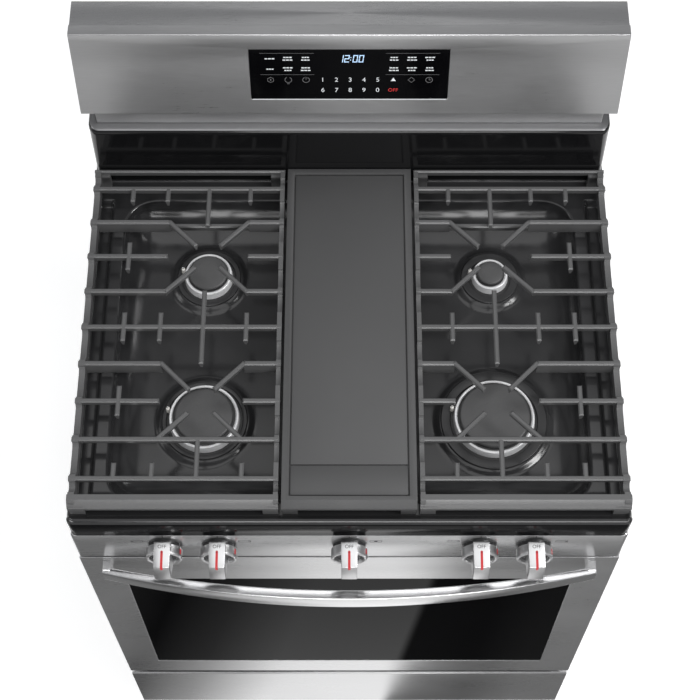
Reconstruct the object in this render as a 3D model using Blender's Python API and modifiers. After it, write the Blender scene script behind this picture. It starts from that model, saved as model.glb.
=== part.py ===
"""Freestanding gas range: a Blender 4.5 model in metres, +Z up, front facing -Y.

The origin is on the floor under the middle of the range. The oven door turns about DOOR_PIVOT, the
storage drawer slides along -Y, each burner knob turns on its valve stem and pushes in along +Y, the
grates and the griddle lift off along +Z, and the convection fan turns about the line FAN_Z along Y.
"""

import math

import bmesh
import bpy
from mathutils import Matrix, Vector

# ---- driving dimensions (metres) ----
HALF_WIDTH = 0.3795
REAR = 0.3567
FRONT = -0.3567
HEIGHT = 1.222
GAP = 0.0003
SHEET = 0.0025
FOOT_TOP = 0.030
BODY_FRONT = -0.2425
BODY_BACK = 0.3490
SIDE_INNER = 0.3735

DOOR_FACE = -0.2945
DOOR_BACK = -0.2545
DOOR_LOW = 0.228
DOOR_HIGH = 0.811
WINDOW_HALF = 0.3245
WINDOW_LOW = 0.290
WINDOW_HIGH = 0.719
DOOR_PIVOT = Vector((0.0, -0.2745, 0.2405))
HINGE_X = 0.345

CAVITY_HALF = 0.3085
CAVITY_LOW = 0.297
CAVITY_HIGH = 0.7175
CAVITY_BACK = 0.2155
RACK_ZS = (0.4100, 0.5600)
FAN_Z = 0.520

DRAWER_LOW = 0.025
DRAWER_HIGH = 0.209
PANEL_LOW = 0.816
PANEL_HIGH = 0.8910

TOP_LOW = 0.8915
TOP_FACE = 0.9335
TOP_FRONT = -0.2925
TOP_REAR = 0.3537
LIP_TOP = 0.9385
WELL_HALF = 0.333
WELL_FRONT = -0.262
WELL_REAR = 0.221
WELL_FLOOR = 0.8945
WELL_CORNER = 0.045

KNOB_Z = 0.855
KNOB_XS = (-0.255, -0.180, 0.0, 0.180, 0.255)
STEM_RADIUS = 0.004
KNOB_RADIUS = 0.025
KNOB_BACK = -0.2980
KNOB_TIP = -0.3402
BEZEL_RADIUS = 0.0220

GRATE_INNER = 0.0945
GRATE_OUTER = 0.3755
GRATE_FRONT = -0.2780
GRATE_REAR = 0.2510
GRATE_TOP = 0.967
GRATE_FEET = TOP_FACE + GAP
BAR_WIDTH = 0.0072
BAR_DEPTH = 0.012
BAR_PITCH = 0.0572
BAR_MIDDLE = -0.009
BURNER_X = 0.203
BURNER_REAR_Y = 0.1054
BURNER_FRONT_Y = -0.1234

SCREEN_HALF = 0.13675
FACE_BASE = Vector((0.0, 0.2678, 1.0845))
FACE_TOP = Vector((0.0, 0.2987, HEIGHT))
SHELL_SEAM = 0.316
NECK_HALF = 0.360
NECK_LOW = 1.0600

MATERIALS = {
    "stainless": ((0.46, 0.46, 0.47), 1.0, 0.34),
    "black_enamel": ((0.012, 0.012, 0.013), 0.0, 0.12),
    "side_enamel": ((0.030, 0.030, 0.032), 0.0, 0.45),
    "oven_enamel": ((0.030, 0.036, 0.048), 0.0, 0.25),
    "galvanised": ((0.42, 0.43, 0.44), 0.9, 0.50),
    "cast_iron": ((0.040, 0.040, 0.041), 0.1, 0.60),
    "aluminium": ((0.62, 0.62, 0.63), 1.0, 0.38),
    "chrome": ((0.80, 0.80, 0.81), 1.0, 0.12),
    "brass": ((0.60, 0.45, 0.19), 1.0, 0.35),
    "dark_glass": ((0.010, 0.010, 0.011), 0.0, 0.05),
    "clear_glass": ((0.75, 0.80, 0.80), 0.0, 0.04),
    "screen_glass": ((0.006, 0.006, 0.008), 0.0, 0.08),
    "plastic": ((0.025, 0.025, 0.026), 0.0, 0.45),
    "board": ((0.020, 0.150, 0.060), 0.0, 0.50),
    "gasket": ((0.250, 0.240, 0.220), 0.0, 0.90),
}


# ---- helpers ----
def clear_scene():
    for item in list(bpy.data.objects):
        bpy.data.objects.remove(item, do_unlink=True)


def collection(name):
    made = bpy.data.collections.new(name)
    bpy.context.scene.collection.children.link(made)
    return made


def material(name):
    found = bpy.data.materials.get(name)
    if found:
        return found
    colour, metallic, roughness = MATERIALS[name]
    made = bpy.data.materials.new(name)
    made.use_nodes = True
    shader = made.node_tree.nodes["Principled BSDF"]
    shader.inputs["Base Color"].default_value = (*colour, 1.0)
    shader.inputs["Metallic"].default_value = metallic
    shader.inputs["Roughness"].default_value = roughness
    made.diffuse_color = (*colour, 1.0)
    return made


def place(name, mesh, location, look, rotation=(0.0, 0.0, 0.0)):
    made = bpy.data.objects.new(name, mesh)
    made.location = location
    made.rotation_euler = rotation
    if look:
        mesh.materials.clear()
        mesh.materials.append(material(look))
        PARTS.objects.link(made)
    else:
        made.hide_render = True
        made.display_type = "WIRE"
        CUTTERS.objects.link(made)
    return made


def mesh_of(name, bm):
    bmesh.ops.recalc_face_normals(bm, faces=bm.faces)
    mesh = bpy.data.meshes.new(name)
    bm.to_mesh(mesh)
    bm.free()
    return mesh


def box(name, low, high, look=None, turn=(0.0, 0.0, 0.0), corner=0.0, edges="Z", segments=5):
    """A box between two corners. corner rounds the four edges along the axis that edges names."""
    size = [b - a for a, b in zip(low, high)]
    bm = bmesh.new()
    bmesh.ops.create_cube(bm, size=1.0, matrix=Matrix.Diagonal((*size, 1.0)))
    if corner:
        along = "XYZ".index(edges)
        others = [i for i in range(3) if i != along]
        chosen = [e for e in bm.edges
                  if all(abs(e.verts[0].co[i] - e.verts[1].co[i]) < 1e-6 for i in others)]
        bmesh.ops.bevel(bm, geom=chosen, offset=corner, segments=segments, profile=0.5, affect="EDGES")
    centre = [(a + b) / 2 for a, b in zip(low, high)]
    return place(name, mesh_of(name, bm), centre, look, turn)


def rod(name, radius, start, end, look=None, sides=16):
    """A round bar from start to end."""
    line = Vector(end) - Vector(start)
    bm = bmesh.new()
    bmesh.ops.create_cone(bm, cap_ends=True, segments=sides, radius1=radius, radius2=radius,
                          depth=line.length)
    made = place(name, mesh_of(name, bm), (Vector(start) + Vector(end)) / 2, look)
    made.rotation_euler = line.to_track_quat("Z", "Y").to_euler()
    return made


def prism(name, outline, low_x, high_x, look=None):
    """An outline of (y, z) points carried along X from low_x to high_x."""
    centre = Vector((0.0, *(sum(p[i] for p in outline) / len(outline) for i in (0, 1))))
    bm = bmesh.new()
    ring = [bm.verts.new((low_x, y - centre.y, z - centre.z)) for y, z in outline]
    face = bm.faces.new(ring)
    moved = bmesh.ops.extrude_face_region(bm, geom=[face])["geom"]
    points = [item for item in moved if isinstance(item, bmesh.types.BMVert)]
    bmesh.ops.translate(bm, verts=points, vec=(high_x - low_x, 0.0, 0.0))
    return place(name, mesh_of(name, bm), centre, look)


def turned(name, profile, location, look=None, steps=32, stretch_y=1.0, turn=(0.0, 0.0, 0.0)):
    """A solid of revolution about local Z. profile is (radius, height) points, top to bottom."""
    bm = bmesh.new()
    line = [bm.verts.new((radius, 0.0, height)) for radius, height in profile]
    for first, second in zip(line, line[1:]):
        bm.edges.new((first, second))
    mesh = bpy.data.meshes.new(name)
    bm.to_mesh(mesh)
    bm.free()
    made = place(name, mesh, location, look, turn)
    made.scale = (1.0, stretch_y, 1.0)
    screw = made.modifiers.new("turn", "SCREW")
    screw.steps = steps
    screw.render_steps = steps
    screw.use_merge_vertices = True
    screw.merge_threshold = 0.00001
    screw.use_smooth_shade = True
    return made


def tube(name, points, radius, look=None):
    """A bent pipe as one closed mesh: a poly curve with a round section, its caps welded."""
    curve = bpy.data.curves.new(name, "CURVE")
    curve.dimensions = "3D"
    curve.bevel_depth = radius
    curve.bevel_resolution = 2
    curve.use_fill_caps = True
    spline = curve.splines.new("POLY")
    spline.points.add(len(points) - 1)
    for point, place_at in zip(spline.points, points):
        point.co = (*place_at, 1.0)
    guide = bpy.data.objects.new(name + "_curve", curve)
    bpy.context.scene.collection.objects.link(guide)
    bpy.context.view_layer.update()
    solid = bpy.data.meshes.new_from_object(guide.evaluated_get(bpy.context.evaluated_depsgraph_get()))
    bm = bmesh.new()
    bm.from_mesh(solid)
    bmesh.ops.remove_doubles(bm, verts=bm.verts, dist=0.00001)
    bpy.data.objects.remove(guide, do_unlink=True)
    return place(name, mesh_of(name, bm), (0.0, 0.0, 0.0), look)


def boolean(target, kind, tools):
    """Joins or cuts target with all of tools at once, by way of a collection of guides."""
    group = bpy.data.collections.new(f"{target.name}_{kind.lower()}")
    CUTTERS.children.link(group)
    for tool in tools:
        CUTTERS.objects.unlink(tool)
        group.objects.link(tool)
    step = target.modifiers.new(kind.lower(), "BOOLEAN")
    step.operation = kind
    step.operand_type = "COLLECTION"
    step.collection = group
    step.solver = "EXACT"
    return target


def cut(target, *tools):
    return boolean(target, "DIFFERENCE", tools)


def fuse(target, *tools):
    return boolean(target, "UNION", tools)


def hang_on(name, location, pieces):
    """Parents pieces to an empty that stands on their joint's axis, where they are."""
    pivot = bpy.data.objects.new(name, None)
    pivot.location = location
    pivot.empty_display_size = 0.03
    PARTS.objects.link(pivot)
    for piece in pieces:
        piece.parent = pivot
        piece.matrix_parent_inverse = Matrix.Translation(location).inverted()
    return pivot


def tray(name, low, high, wall, look, open_side):
    """A thin-walled box with one open side, named as in '-Y' or '+Z'."""
    inner_low = [value + wall for value in low]
    inner_high = [value - wall for value in high]
    axis = "XYZ".index(open_side[1])
    if open_side[0] == "+":
        inner_high[axis] = high[axis] + 0.02
    else:
        inner_low[axis] = low[axis] - 0.02
    return cut(box(name, low, high, look), box(name + "_hollow", inner_low, inner_high))


# ---- body ----
def side_panels():
    for side, label in ((-1, "left"), (1, "right")):
        near, far = sorted((side * SIDE_INNER, side * (SIDE_INNER + SHEET)))
        box(f"{label}_side_panel", (near, BODY_FRONT, FOOT_TOP), (far, BODY_BACK, TOP_LOW - GAP),
            "side_enamel")


def back_panel():
    panel = box("back_panel", (-SIDE_INNER + 0.0006, BODY_BACK - SHEET, FOOT_TOP + 0.005),
                (SIDE_INNER - 0.0006, BODY_BACK, TOP_LOW - GAP), "galvanised")
    inlet = rod("inlet_hole", 0.022, (-0.20, 0.33, 0.115), (-0.20, 0.36, 0.115))
    vents = [box(f"vent_{i}", (-0.25 + 0.1 * i, 0.33, 0.780), (-0.19 + 0.1 * i, 0.36, 0.788))
             for i in range(5)]
    cut(panel, inlet, *vents)


def base_pan():
    half = SIDE_INNER - 0.0006
    pan = box("base_pan", (-half, BODY_FRONT, FOOT_TOP), (half, BODY_BACK - 0.0035, FOOT_TOP + 0.0035),
              "galvanised")
    rails = [box(f"glide_rail_{side}", (min(side * 0.346, side * 0.358), BODY_FRONT + 0.001, FOOT_TOP),
                 (max(side * 0.346, side * 0.358), 0.300, 0.0597)) for side in (-1, 1)]
    fuse(pan, *rails)


def levelling_feet():
    profile = [(0.0, 0.0), (0.006, 0.0), (0.006, -0.014), (0.012, -0.016), (0.016, -0.020),
               (0.018, -0.0297), (0.0, -0.0297)]
    for end, y in (("front", -0.205), ("rear", 0.310)):
        for side, label in ((-1, "left"), (1, "right")):
            turned(f"levelling_foot_{end}_{label}", profile, (side * 0.325, y, FOOT_TOP - GAP),
                   "plastic", steps=12)


def oven_liner():
    wall = SHEET
    liner = box("oven_liner", (-CAVITY_HALF - wall, BODY_FRONT - 0.0002, CAVITY_LOW - wall),
                (CAVITY_HALF + wall, CAVITY_BACK + wall, CAVITY_HIGH + wall), "oven_enamel")
    ledges = []
    for side in (-1, 1):
        for z in RACK_ZS:
            near, far = sorted((side * (CAVITY_HALF - 0.006), side * (CAVITY_HALF + 0.001)))
            ledges.append(box("rack_ledge", (near, -0.230, z - 0.009), (far, 0.160, z - 0.0033)))
    hollow = box("cavity", (-CAVITY_HALF, BODY_FRONT - 0.05, CAVITY_LOW),
                 (CAVITY_HALF, CAVITY_BACK, CAVITY_HIGH))
    shaft = rod("shaft_hole", 0.007, (0.0, 0.19, FAN_Z), (0.0, 0.24, FAN_Z))
    cut(liner, hollow, shaft)
    fuse(liner, *ledges)


def front_frame():
    low_z = DRAWER_HIGH + 0.0045
    frame = box("front_frame", (-SIDE_INNER + 0.0006, -0.2460, low_z),
                (SIDE_INNER - 0.0006, -0.2430, PANEL_LOW - 0.001), "black_enamel")
    cut(frame, box("oven_mouth", (-CAVITY_HALF, -0.26, CAVITY_LOW), (CAVITY_HALF, -0.23, CAVITY_HIGH),
                   corner=0.012, edges="Y", segments=3))


def door_gasket():
    low_z, high_z = CAVITY_LOW - 0.014, CAVITY_HIGH + 0.014
    half = CAVITY_HALF + 0.014
    seal = box("door_gasket", (-half, DOOR_BACK + GAP, low_z), (half, -0.2460 - GAP, high_z), "gasket",
               corner=0.014, edges="Y", segments=3)
    cut(seal, box("seal_mouth", (-half + 0.011, -0.27, low_z + 0.011),
                  (half - 0.011, -0.23, high_z - 0.011), corner=0.006, edges="Y", segments=2))


def manifold_panel():
    """The panel that carries the knobs, with a low round boss behind each one."""
    panel = tray("manifold_panel", (-HALF_WIDTH, DOOR_FACE, PANEL_LOW),
                 (HALF_WIDTH, BODY_FRONT - 0.001, PANEL_HIGH), SHEET, "stainless", "+Y")
    bosses = [rod("boss", BEZEL_RADIUS, (x, DOOR_FACE - 0.0022, KNOB_Z), (x, DOOR_FACE + 0.001, KNOB_Z),
                  sides=24) for x in KNOB_XS]
    holes = [rod("stem_hole", 0.0065, (x, DOOR_FACE - 0.01, KNOB_Z), (x, DOOR_FACE + 0.01, KNOB_Z))
             for x in KNOB_XS]
    fuse(panel, *bosses)
    cut(panel, *holes)


# ---- cooktop ----
def cooktop():
    """A pressed steel top: front lip, border, and one deep well with rounded corners for the burners."""
    skin = 0.003
    plate = box("cooktop", (-HALF_WIDTH, TOP_FRONT, TOP_LOW), (HALF_WIDTH, TOP_REAR, TOP_FACE),
                "black_enamel")
    lip = box("front_lip", (-HALF_WIDTH, TOP_FRONT, TOP_FACE - 0.002),
              (HALF_WIDTH, TOP_FRONT + 0.009, LIP_TOP), corner=0.0035, edges="X", segments=3)
    under_border = box("under_border", (-HALF_WIDTH + skin, TOP_FRONT + skin, TOP_LOW - 0.02),
                       (HALF_WIDTH - skin, TOP_REAR - skin, TOP_FACE - skin))
    pan = box("well_pan", (-WELL_HALF - skin, WELL_FRONT - skin, WELL_FLOOR - skin),
              (WELL_HALF + skin, WELL_REAR + skin, TOP_FACE - 0.001), corner=WELL_CORNER + skin)
    well = box("well", (-WELL_HALF, WELL_FRONT, WELL_FLOOR), (WELL_HALF, WELL_REAR, TOP_FACE + 0.02),
               corner=WELL_CORNER)
    cut(plate, under_border)
    fuse(plate, lip, pan)
    cut(plate, well)


def burner(name, x, y, cap, ring, flange, stretch=1.0):
    """A burner base with its bright ring, and the loose cap that sits on it; sizes are radii."""
    floor, shoulder, rim = WELL_FLOOR + GAP, 0.0035, 0.0180
    base = [(0.0, rim), (ring - 0.004, rim), (ring, rim - 0.003), (ring - 0.003, shoulder + 0.001),
            (flange - 0.003, shoulder), (flange, 0.0), (0.0, 0.0)]
    steps = max(20, int(ring * 700))
    turned(f"burner_base_{name}", base, (x, y, floor), "aluminium", steps, stretch)
    lid = [(0.0, 0.0072), (cap - 0.004, 0.0065), (cap, 0.0035), (cap, 0.0), (0.0, 0.0)]
    turned(f"burner_cap_{name}", lid, (x, y, floor + rim + GAP), "cast_iron", steps, stretch)


def burners():
    burner("rear_left", -BURNER_X, BURNER_REAR_Y, 0.0285, 0.0345, 0.0495)
    burner("front_left", -BURNER_X, BURNER_FRONT_Y, 0.0410, 0.0490, 0.0605)
    burner("rear_right", BURNER_X, BURNER_REAR_Y, 0.0205, 0.0260, 0.0485)
    burner("front_right", BURNER_X, BURNER_FRONT_Y, 0.0495, 0.0565, 0.0750)
    burner("centre", 0.0, BAR_MIDDLE, 0.0240, 0.0300, 0.0400, stretch=3.2)


def bar(side, start, end, y, top=GRATE_TOP, depth=BAR_DEPTH, width=BAR_WIDTH):
    """One bar across a grate, from start to end out from the middle of the range."""
    low_x, high_x = sorted((side * start, side * end))
    return box("bar", (low_x, y - width / 2, top - depth), (high_x, y + width / 2, top))


def finger(x, low_y, high_y, top=GRATE_TOP - 0.00004, depth=BAR_DEPTH - 0.0001, width=BAR_WIDTH):
    """One short bar front to back; a hair lower than the bars it crosses, so that no faces coincide."""
    return box("finger", (x - width / 2, low_y, top - depth), (x + width / 2, high_y, top))


def diagonal(x, y, sign_x, sign_y):
    """One 45 degree finger from the bend of a bar towards the burner centre (x, y)."""
    tip, bend = 0.0185, BAR_PITCH
    length = (bend - tip) * math.sqrt(2)
    middle = (bend + tip) / 2
    top, depth, width = GRATE_TOP - 0.00008, BAR_DEPTH - 0.0002, BAR_WIDTH - 0.0005
    centre = Vector((x + sign_x * middle, y + sign_y * middle, top - depth / 2))
    half = Vector((length / 2 + 0.001, width / 2, depth / 2))
    return box("diagonal", centre - half, centre + half, turn=(0, 0, math.radians(45) * sign_x * sign_y))


def bar_y(n):
    return BAR_MIDDLE + BAR_PITCH * n


def burner_bars(side):
    """The bars that stop short of the burners, and the fingers that reach in over each burner."""
    pieces = []
    for n in (-3, -2, -1, 1, 2, 3):
        pieces.append(bar(side, GRATE_INNER, BURNER_X - BAR_PITCH, bar_y(n)))
        pieces.append(bar(side, BURNER_X + BAR_PITCH, GRATE_OUTER, bar_y(n)))
    for centre_y in (bar_y(-2), bar_y(2)):
        pieces += [diagonal(side * BURNER_X, centre_y, sx, sy) for sx in (-1, 1) for sy in (-1, 1)]
    for n in (-3, 3):
        pieces.append(bar(side, 0.145, 0.262, bar_y(n), GRATE_TOP - 0.0035, 0.008, 0.0070))
    return pieces


def short_fingers(side):
    """The short ribs that cross the bars between the burners and at the outer side."""
    reach, pieces = 0.022, []
    for x in (0.316, 0.265, 0.144):
        pieces.append(finger(side * x, bar_y(0) - reach, bar_y(0) + reach))
        pieces.append(finger(side * x, bar_y(-4), bar_y(-4) + reach))
        pieces.append(finger(side * x, bar_y(4) - reach, bar_y(4)))
    for n in (-2, 2):
        pieces.append(finger(side * 0.316, bar_y(n) - reach, bar_y(n) + reach))
    for start, end in ((bar_y(0) - 0.058, bar_y(0) + 0.058), (bar_y(-4), bar_y(-3)), (bar_y(3), bar_y(4))):
        pieces.append(finger(side * 0.205, start, end))
    return pieces


def grate_border(side):
    """The two rails, the bevelled front bar, the rear bar and the four feet of one grate."""
    pieces = [bar(side, GRATE_INNER, GRATE_OUTER, GRATE_REAR - 0.0036)]
    for x in (GRATE_INNER + 0.004, GRATE_OUTER - 0.005):
        pieces.append(finger(side * x, -0.270, GRATE_REAR - 0.001, GRATE_TOP - 0.006, 0.018, 0.0070))
    for x in (GRATE_INNER + 0.0105, GRATE_OUTER - 0.0115):
        for low_y, high_y in ((GRATE_FRONT + 0.0015, GRATE_FRONT + 0.0140), (0.2420, GRATE_REAR)):
            low_x, high_x = sorted((side * (x - 0.010), side * (x + 0.010)))
            pieces.append(box("foot", (low_x, low_y, GRATE_FEET), (high_x, high_y, GRATE_TOP - 0.008)))
    slope = [(GRATE_FRONT + 0.0160, GRATE_TOP), (GRATE_FRONT + 0.0085, GRATE_TOP),
             (GRATE_FRONT, GRATE_TOP - 0.0105), (GRATE_FRONT, GRATE_TOP - 0.016),
             (GRATE_FRONT + 0.0160, GRATE_TOP - 0.016)]
    pieces.append(prism("front_bar", slope, *sorted((side * GRATE_INNER, side * GRATE_OUTER))))
    return pieces


def grate(side, label):
    low_x, high_x = sorted((side * GRATE_INNER, side * GRATE_OUTER))
    y = bar_y(-4)
    body = box(f"grate_{label}", (low_x, y - BAR_WIDTH / 2, GRATE_TOP - BAR_DEPTH),
               (high_x, y + BAR_WIDTH / 2, GRATE_TOP), "cast_iron")
    across = [bar(side, GRATE_INNER, GRATE_OUTER, bar_y(n)) for n in (0, 4)]
    fuse(body, *across, *burner_bars(side), *short_fingers(side), *grate_border(side))
    hang_on(f"grate_{label}_lift", (side * 0.235, 0.0, GRATE_FEET), [body])


def griddle():
    """The cast plate between the grates, with a shallow dish and a grease trough at its front."""
    half, top, front, rear, rim = 0.0905, GRATE_TOP, GRATE_FRONT, 0.2530, 0.010
    outline = [(rear, top - 0.011), (rear, top), (front + 0.0085, top), (front, top - 0.0105),
               (front, top - 0.016), (front + 0.0085, top - 0.016), (front + 0.0140, top - 0.011)]
    slab = prism("griddle", outline, -half, half, "cast_iron")
    dish = box("dish", (-half + rim, -0.2145, top - 0.0028), (half - rim, rear - rim, top + 0.02),
               corner=0.008)
    trough = box("trough", (-half + rim, -0.2640, top - 0.0060), (half - rim, -0.2190, top + 0.02),
                 corner=0.008)
    feet = []
    for side in (-1, 1):
        low_x, high_x = sorted((side * 0.069, side * 0.089))
        for low_y, high_y in ((-0.2770, -0.2650), (0.2400, 0.2510)):
            feet.append(box("foot", (low_x, low_y, GRATE_FEET), (high_x, high_y, top - 0.0105)))
    fuse(slab, *feet)
    cut(slab, dish, trough)
    hang_on("griddle_lift", (0.0, 0.0, GRATE_FEET), [slab])


# ---- back guard ----
def rear_riser():
    """The black upstand behind the grates: a leaning face and the ledge under the back guard."""
    half, foot, ledge = 0.373, TOP_FACE + GAP, NECK_LOW - 0.0005
    outer = [(0.2540, foot), (0.2550, 1.0570), (0.2575, ledge), (0.3120, ledge), (0.3120, foot)]
    inner = [(0.2565, foot - 0.01), (0.2575, 1.0550), (0.2590, ledge - 0.0025), (0.3300, ledge - 0.0025),
             (0.3300, foot - 0.01)]
    cut(prism("rear_riser", outer, -half, half, "black_enamel"),
        prism("riser_hollow", inner, -half + 0.003, half - 0.003))


def face_point(along, depth=0.0):
    """A point of the tilted control face: along it from its lower edge, and depth behind it."""
    up = (FACE_TOP - FACE_BASE).normalized()
    inward = Vector((0.0, up.z, -up.y))
    return FACE_BASE + up * along + inward * depth


def face_box(name, half, low, high, front, back, look=None):
    """A box lying in the tilted control face, from low to high along it."""
    up = FACE_TOP - FACE_BASE
    centre = face_point((low + high) / 2, (front + back) / 2)
    size = Vector((half, (back - front) / 2, (high - low) / 2))
    lean = -math.atan2(up.y, up.z)
    return box(name, centre - size, centre + size, look, turn=(lean, 0.0, 0.0))


def backguard():
    """The leaning control face on its narrower neck, the cover behind it, the glass and its board."""
    wall, brow = 0.002, FACE_BASE.z - 0.004
    face = [(FACE_BASE.y + 0.001, brow), (FACE_BASE.y, FACE_BASE.z), (FACE_TOP.y, FACE_TOP.z),
            (SHELL_SEAM, HEIGHT), (SHELL_SEAM, brow)]
    neck = [(0.2730, NECK_LOW), (FACE_BASE.y + 0.0015, brow + wall), (SHELL_SEAM, brow + wall),
            (SHELL_SEAM, NECK_LOW)]
    face_room = [(FACE_BASE.y + 0.0032, brow + wall), (FACE_BASE.y + 0.0025, FACE_BASE.z + 0.001),
                 (FACE_TOP.y + 0.0016, HEIGHT - wall), (SHELL_SEAM + 0.02, HEIGHT - wall),
                 (SHELL_SEAM + 0.02, brow + wall)]
    neck_room = [(0.2755, NECK_LOW - 0.01), (FACE_BASE.y + 0.0050, brow + 2 * wall),
                 (SHELL_SEAM + 0.02, brow + 2 * wall), (SHELL_SEAM + 0.02, NECK_LOW - 0.01)]
    shell = prism("backguard_shell", face, -HALF_WIDTH, HALF_WIDTH, "stainless")
    fuse(shell, prism("neck", neck, -NECK_HALF, NECK_HALF))
    window = face_box("screen_cutout", SCREEN_HALF + GAP, 0.0280 - GAP, 0.1155 + GAP, -0.010, 0.010)
    cut(shell, prism("face_room", face_room, -HALF_WIDTH + wall, HALF_WIDTH - wall),
        prism("neck_room", neck_room, -NECK_HALF + wall, NECK_HALF - wall), window)
    tray("backguard_rear_cover", (-HALF_WIDTH + 0.001, SHELL_SEAM + GAP, TOP_FACE + GAP),
         (HALF_WIDTH - 0.001, REAR, HEIGHT - 0.001), wall, "stainless", "-Y")
    face_box("display_glass", SCREEN_HALF, 0.0280, 0.1155, -0.0006, 0.0030, "screen_glass")
    face_box("control_board", 0.115, 0.0380, 0.1060, 0.0080, 0.0100, "board")


# ---- gas system ----
def gas_valve_rail():
    """The manifold pipe with one valve body standing on it for each knob."""
    pipe_y, valve_front, valve_back = -0.2150, -0.2680, -0.2220
    rail = rod("gas_valve_rail", 0.0090, (-0.330, pipe_y, KNOB_Z), (0.320, pipe_y, KNOB_Z), "aluminium",
               12)
    bodies = [box("valve", (x - 0.013, valve_front, KNOB_Z - 0.016), (x + 0.013, valve_back, KNOB_Z + 0.016),
                  corner=0.004, edges="Y", segments=2) for x in KNOB_XS]
    bores = [rod("stem_bore", STEM_RADIUS + 0.0006, (x, valve_front - 0.01, KNOB_Z), (x, -0.2400, KNOB_Z))
             for x in KNOB_XS]
    fuse(rail, *bodies)
    cut(rail, *bores)


def gas_supply():
    """The pipe from the regulator at the rear up and forward to the end of the manifold pipe."""
    bend = 0.02
    path = [(-0.2150, 0.314, 0.115), (-0.330, 0.314, 0.115), (-0.330 - bend, 0.314, 0.115 + bend),
            (-0.330 - bend, 0.314, 0.835), (-0.330 - bend, 0.314 - bend, 0.855),
            (-0.330 - bend, -0.195, 0.855), (-0.350 + bend / 2, -0.215, 0.855), (-0.3305, -0.215, 0.855)]
    pipe = tube("gas_supply_pipe", path, 0.0065, "aluminium")
    fuse(pipe, box("regulator", (-0.225, 0.288, 0.090), (-0.175, 0.340, 0.140), corner=0.012, edges="Y",
                   segments=3))


def knob(index, x):
    """One burner knob: hollow skirt and sloping lever, bored for its D stem, and the stem that it turns."""
    turn_y = (math.radians(90), 0.0, 0.0)
    body = turned(f"knob_{index}", [(0.0, 0.0120), (0.0205, 0.0120), (0.0220, 0.0150), (0.0240, 0.0150),
                                    (KNOB_RADIUS, 0.0135), (KNOB_RADIUS, 0.0), (0.0, 0.0)],
                  (x, KNOB_BACK, KNOB_Z), "chrome", 28, turn=turn_y)
    outline = [(KNOB_BACK - 0.0003, KNOB_Z + 0.0318), (KNOB_TIP + 0.0067, KNOB_Z + 0.0257),
               (KNOB_TIP, KNOB_Z - 0.0040), (KNOB_BACK - 0.0115, KNOB_Z - 0.0225),
               (KNOB_BACK - 0.0003, KNOB_Z - 0.0225)]
    fuse(body, prism("lever", outline, x - 0.011, x + 0.011))
    room = rod("skirt_room", BEZEL_RADIUS + 0.0010, (x, DOOR_FACE, KNOB_Z),
               (x, KNOB_BACK - 0.0060, KNOB_Z), sides=24)
    bore = rod("bore", STEM_RADIUS + 0.0004, (x, DOOR_FACE, KNOB_Z), (x, -0.3325, KNOB_Z), sides=12)
    cut(body, room, bore)
    stem = rod(f"valve_stem_{index}", STEM_RADIUS, (x, -0.3290, KNOB_Z), (x, -0.2445, KNOB_Z), "brass", 12)
    cut(stem, box("flat", (x - 0.006, -0.34, KNOB_Z + 0.0028), (x + 0.006, -0.3060, KNOB_Z + 0.006)))
    hang_on(f"knob_{index}_axis", (x, DOOR_FACE, KNOB_Z), [body, stem])


# ---- oven ----
def rack(label, z):
    """A wire rack: a rim, wires front to back and one stiffening wire across."""
    wire, rim, half, front, rear, count = 0.0032, 0.0065, 0.3055, -0.226, 0.152, 16
    body = box(f"oven_rack_{label}", (-half, front, z - wire), (half, front + rim, z + wire), "chrome")
    bars = [box("rim", (-half, rear - rim, z - wire), (half, rear, z + wire)),
            box("middle", (-half, -0.040, z - wire), (half, -0.034, z - 0.0004))]
    for side in (-1, 1):
        low_x, high_x = sorted((side * half, side * (half - rim)))
        bars.append(box("rim", (low_x, front, z - wire), (high_x, rear, z + wire)))
    for i in range(1, count):
        x = -half + 2 * half * i / count
        bars.append(box("wire", (x - 0.0018, front + 0.002, z - 0.0010),
                        (x + 0.0018, rear - 0.002, z + 0.0026)))
    fuse(body, *bars)


def oven_burners():
    """The bake burner under the oven floor, and the broil burner with its baffle under the roof."""
    bake_z, broil_z = 0.258, 0.695
    tube("bake_burner", [(0.0, -0.175, bake_z), (0.0, 0.205, bake_z), (0.0, 0.235, bake_z)], 0.0125,
         "aluminium")
    pipe = rod("broil_burner", 0.0110, (0.0, -0.150, broil_z), (0.0, 0.2150, broil_z), "aluminium", 12)
    fuse(pipe, box("baffle", (-0.070, -0.140, broil_z + 0.007), (0.070, 0.130, broil_z + 0.0095)))


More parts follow.
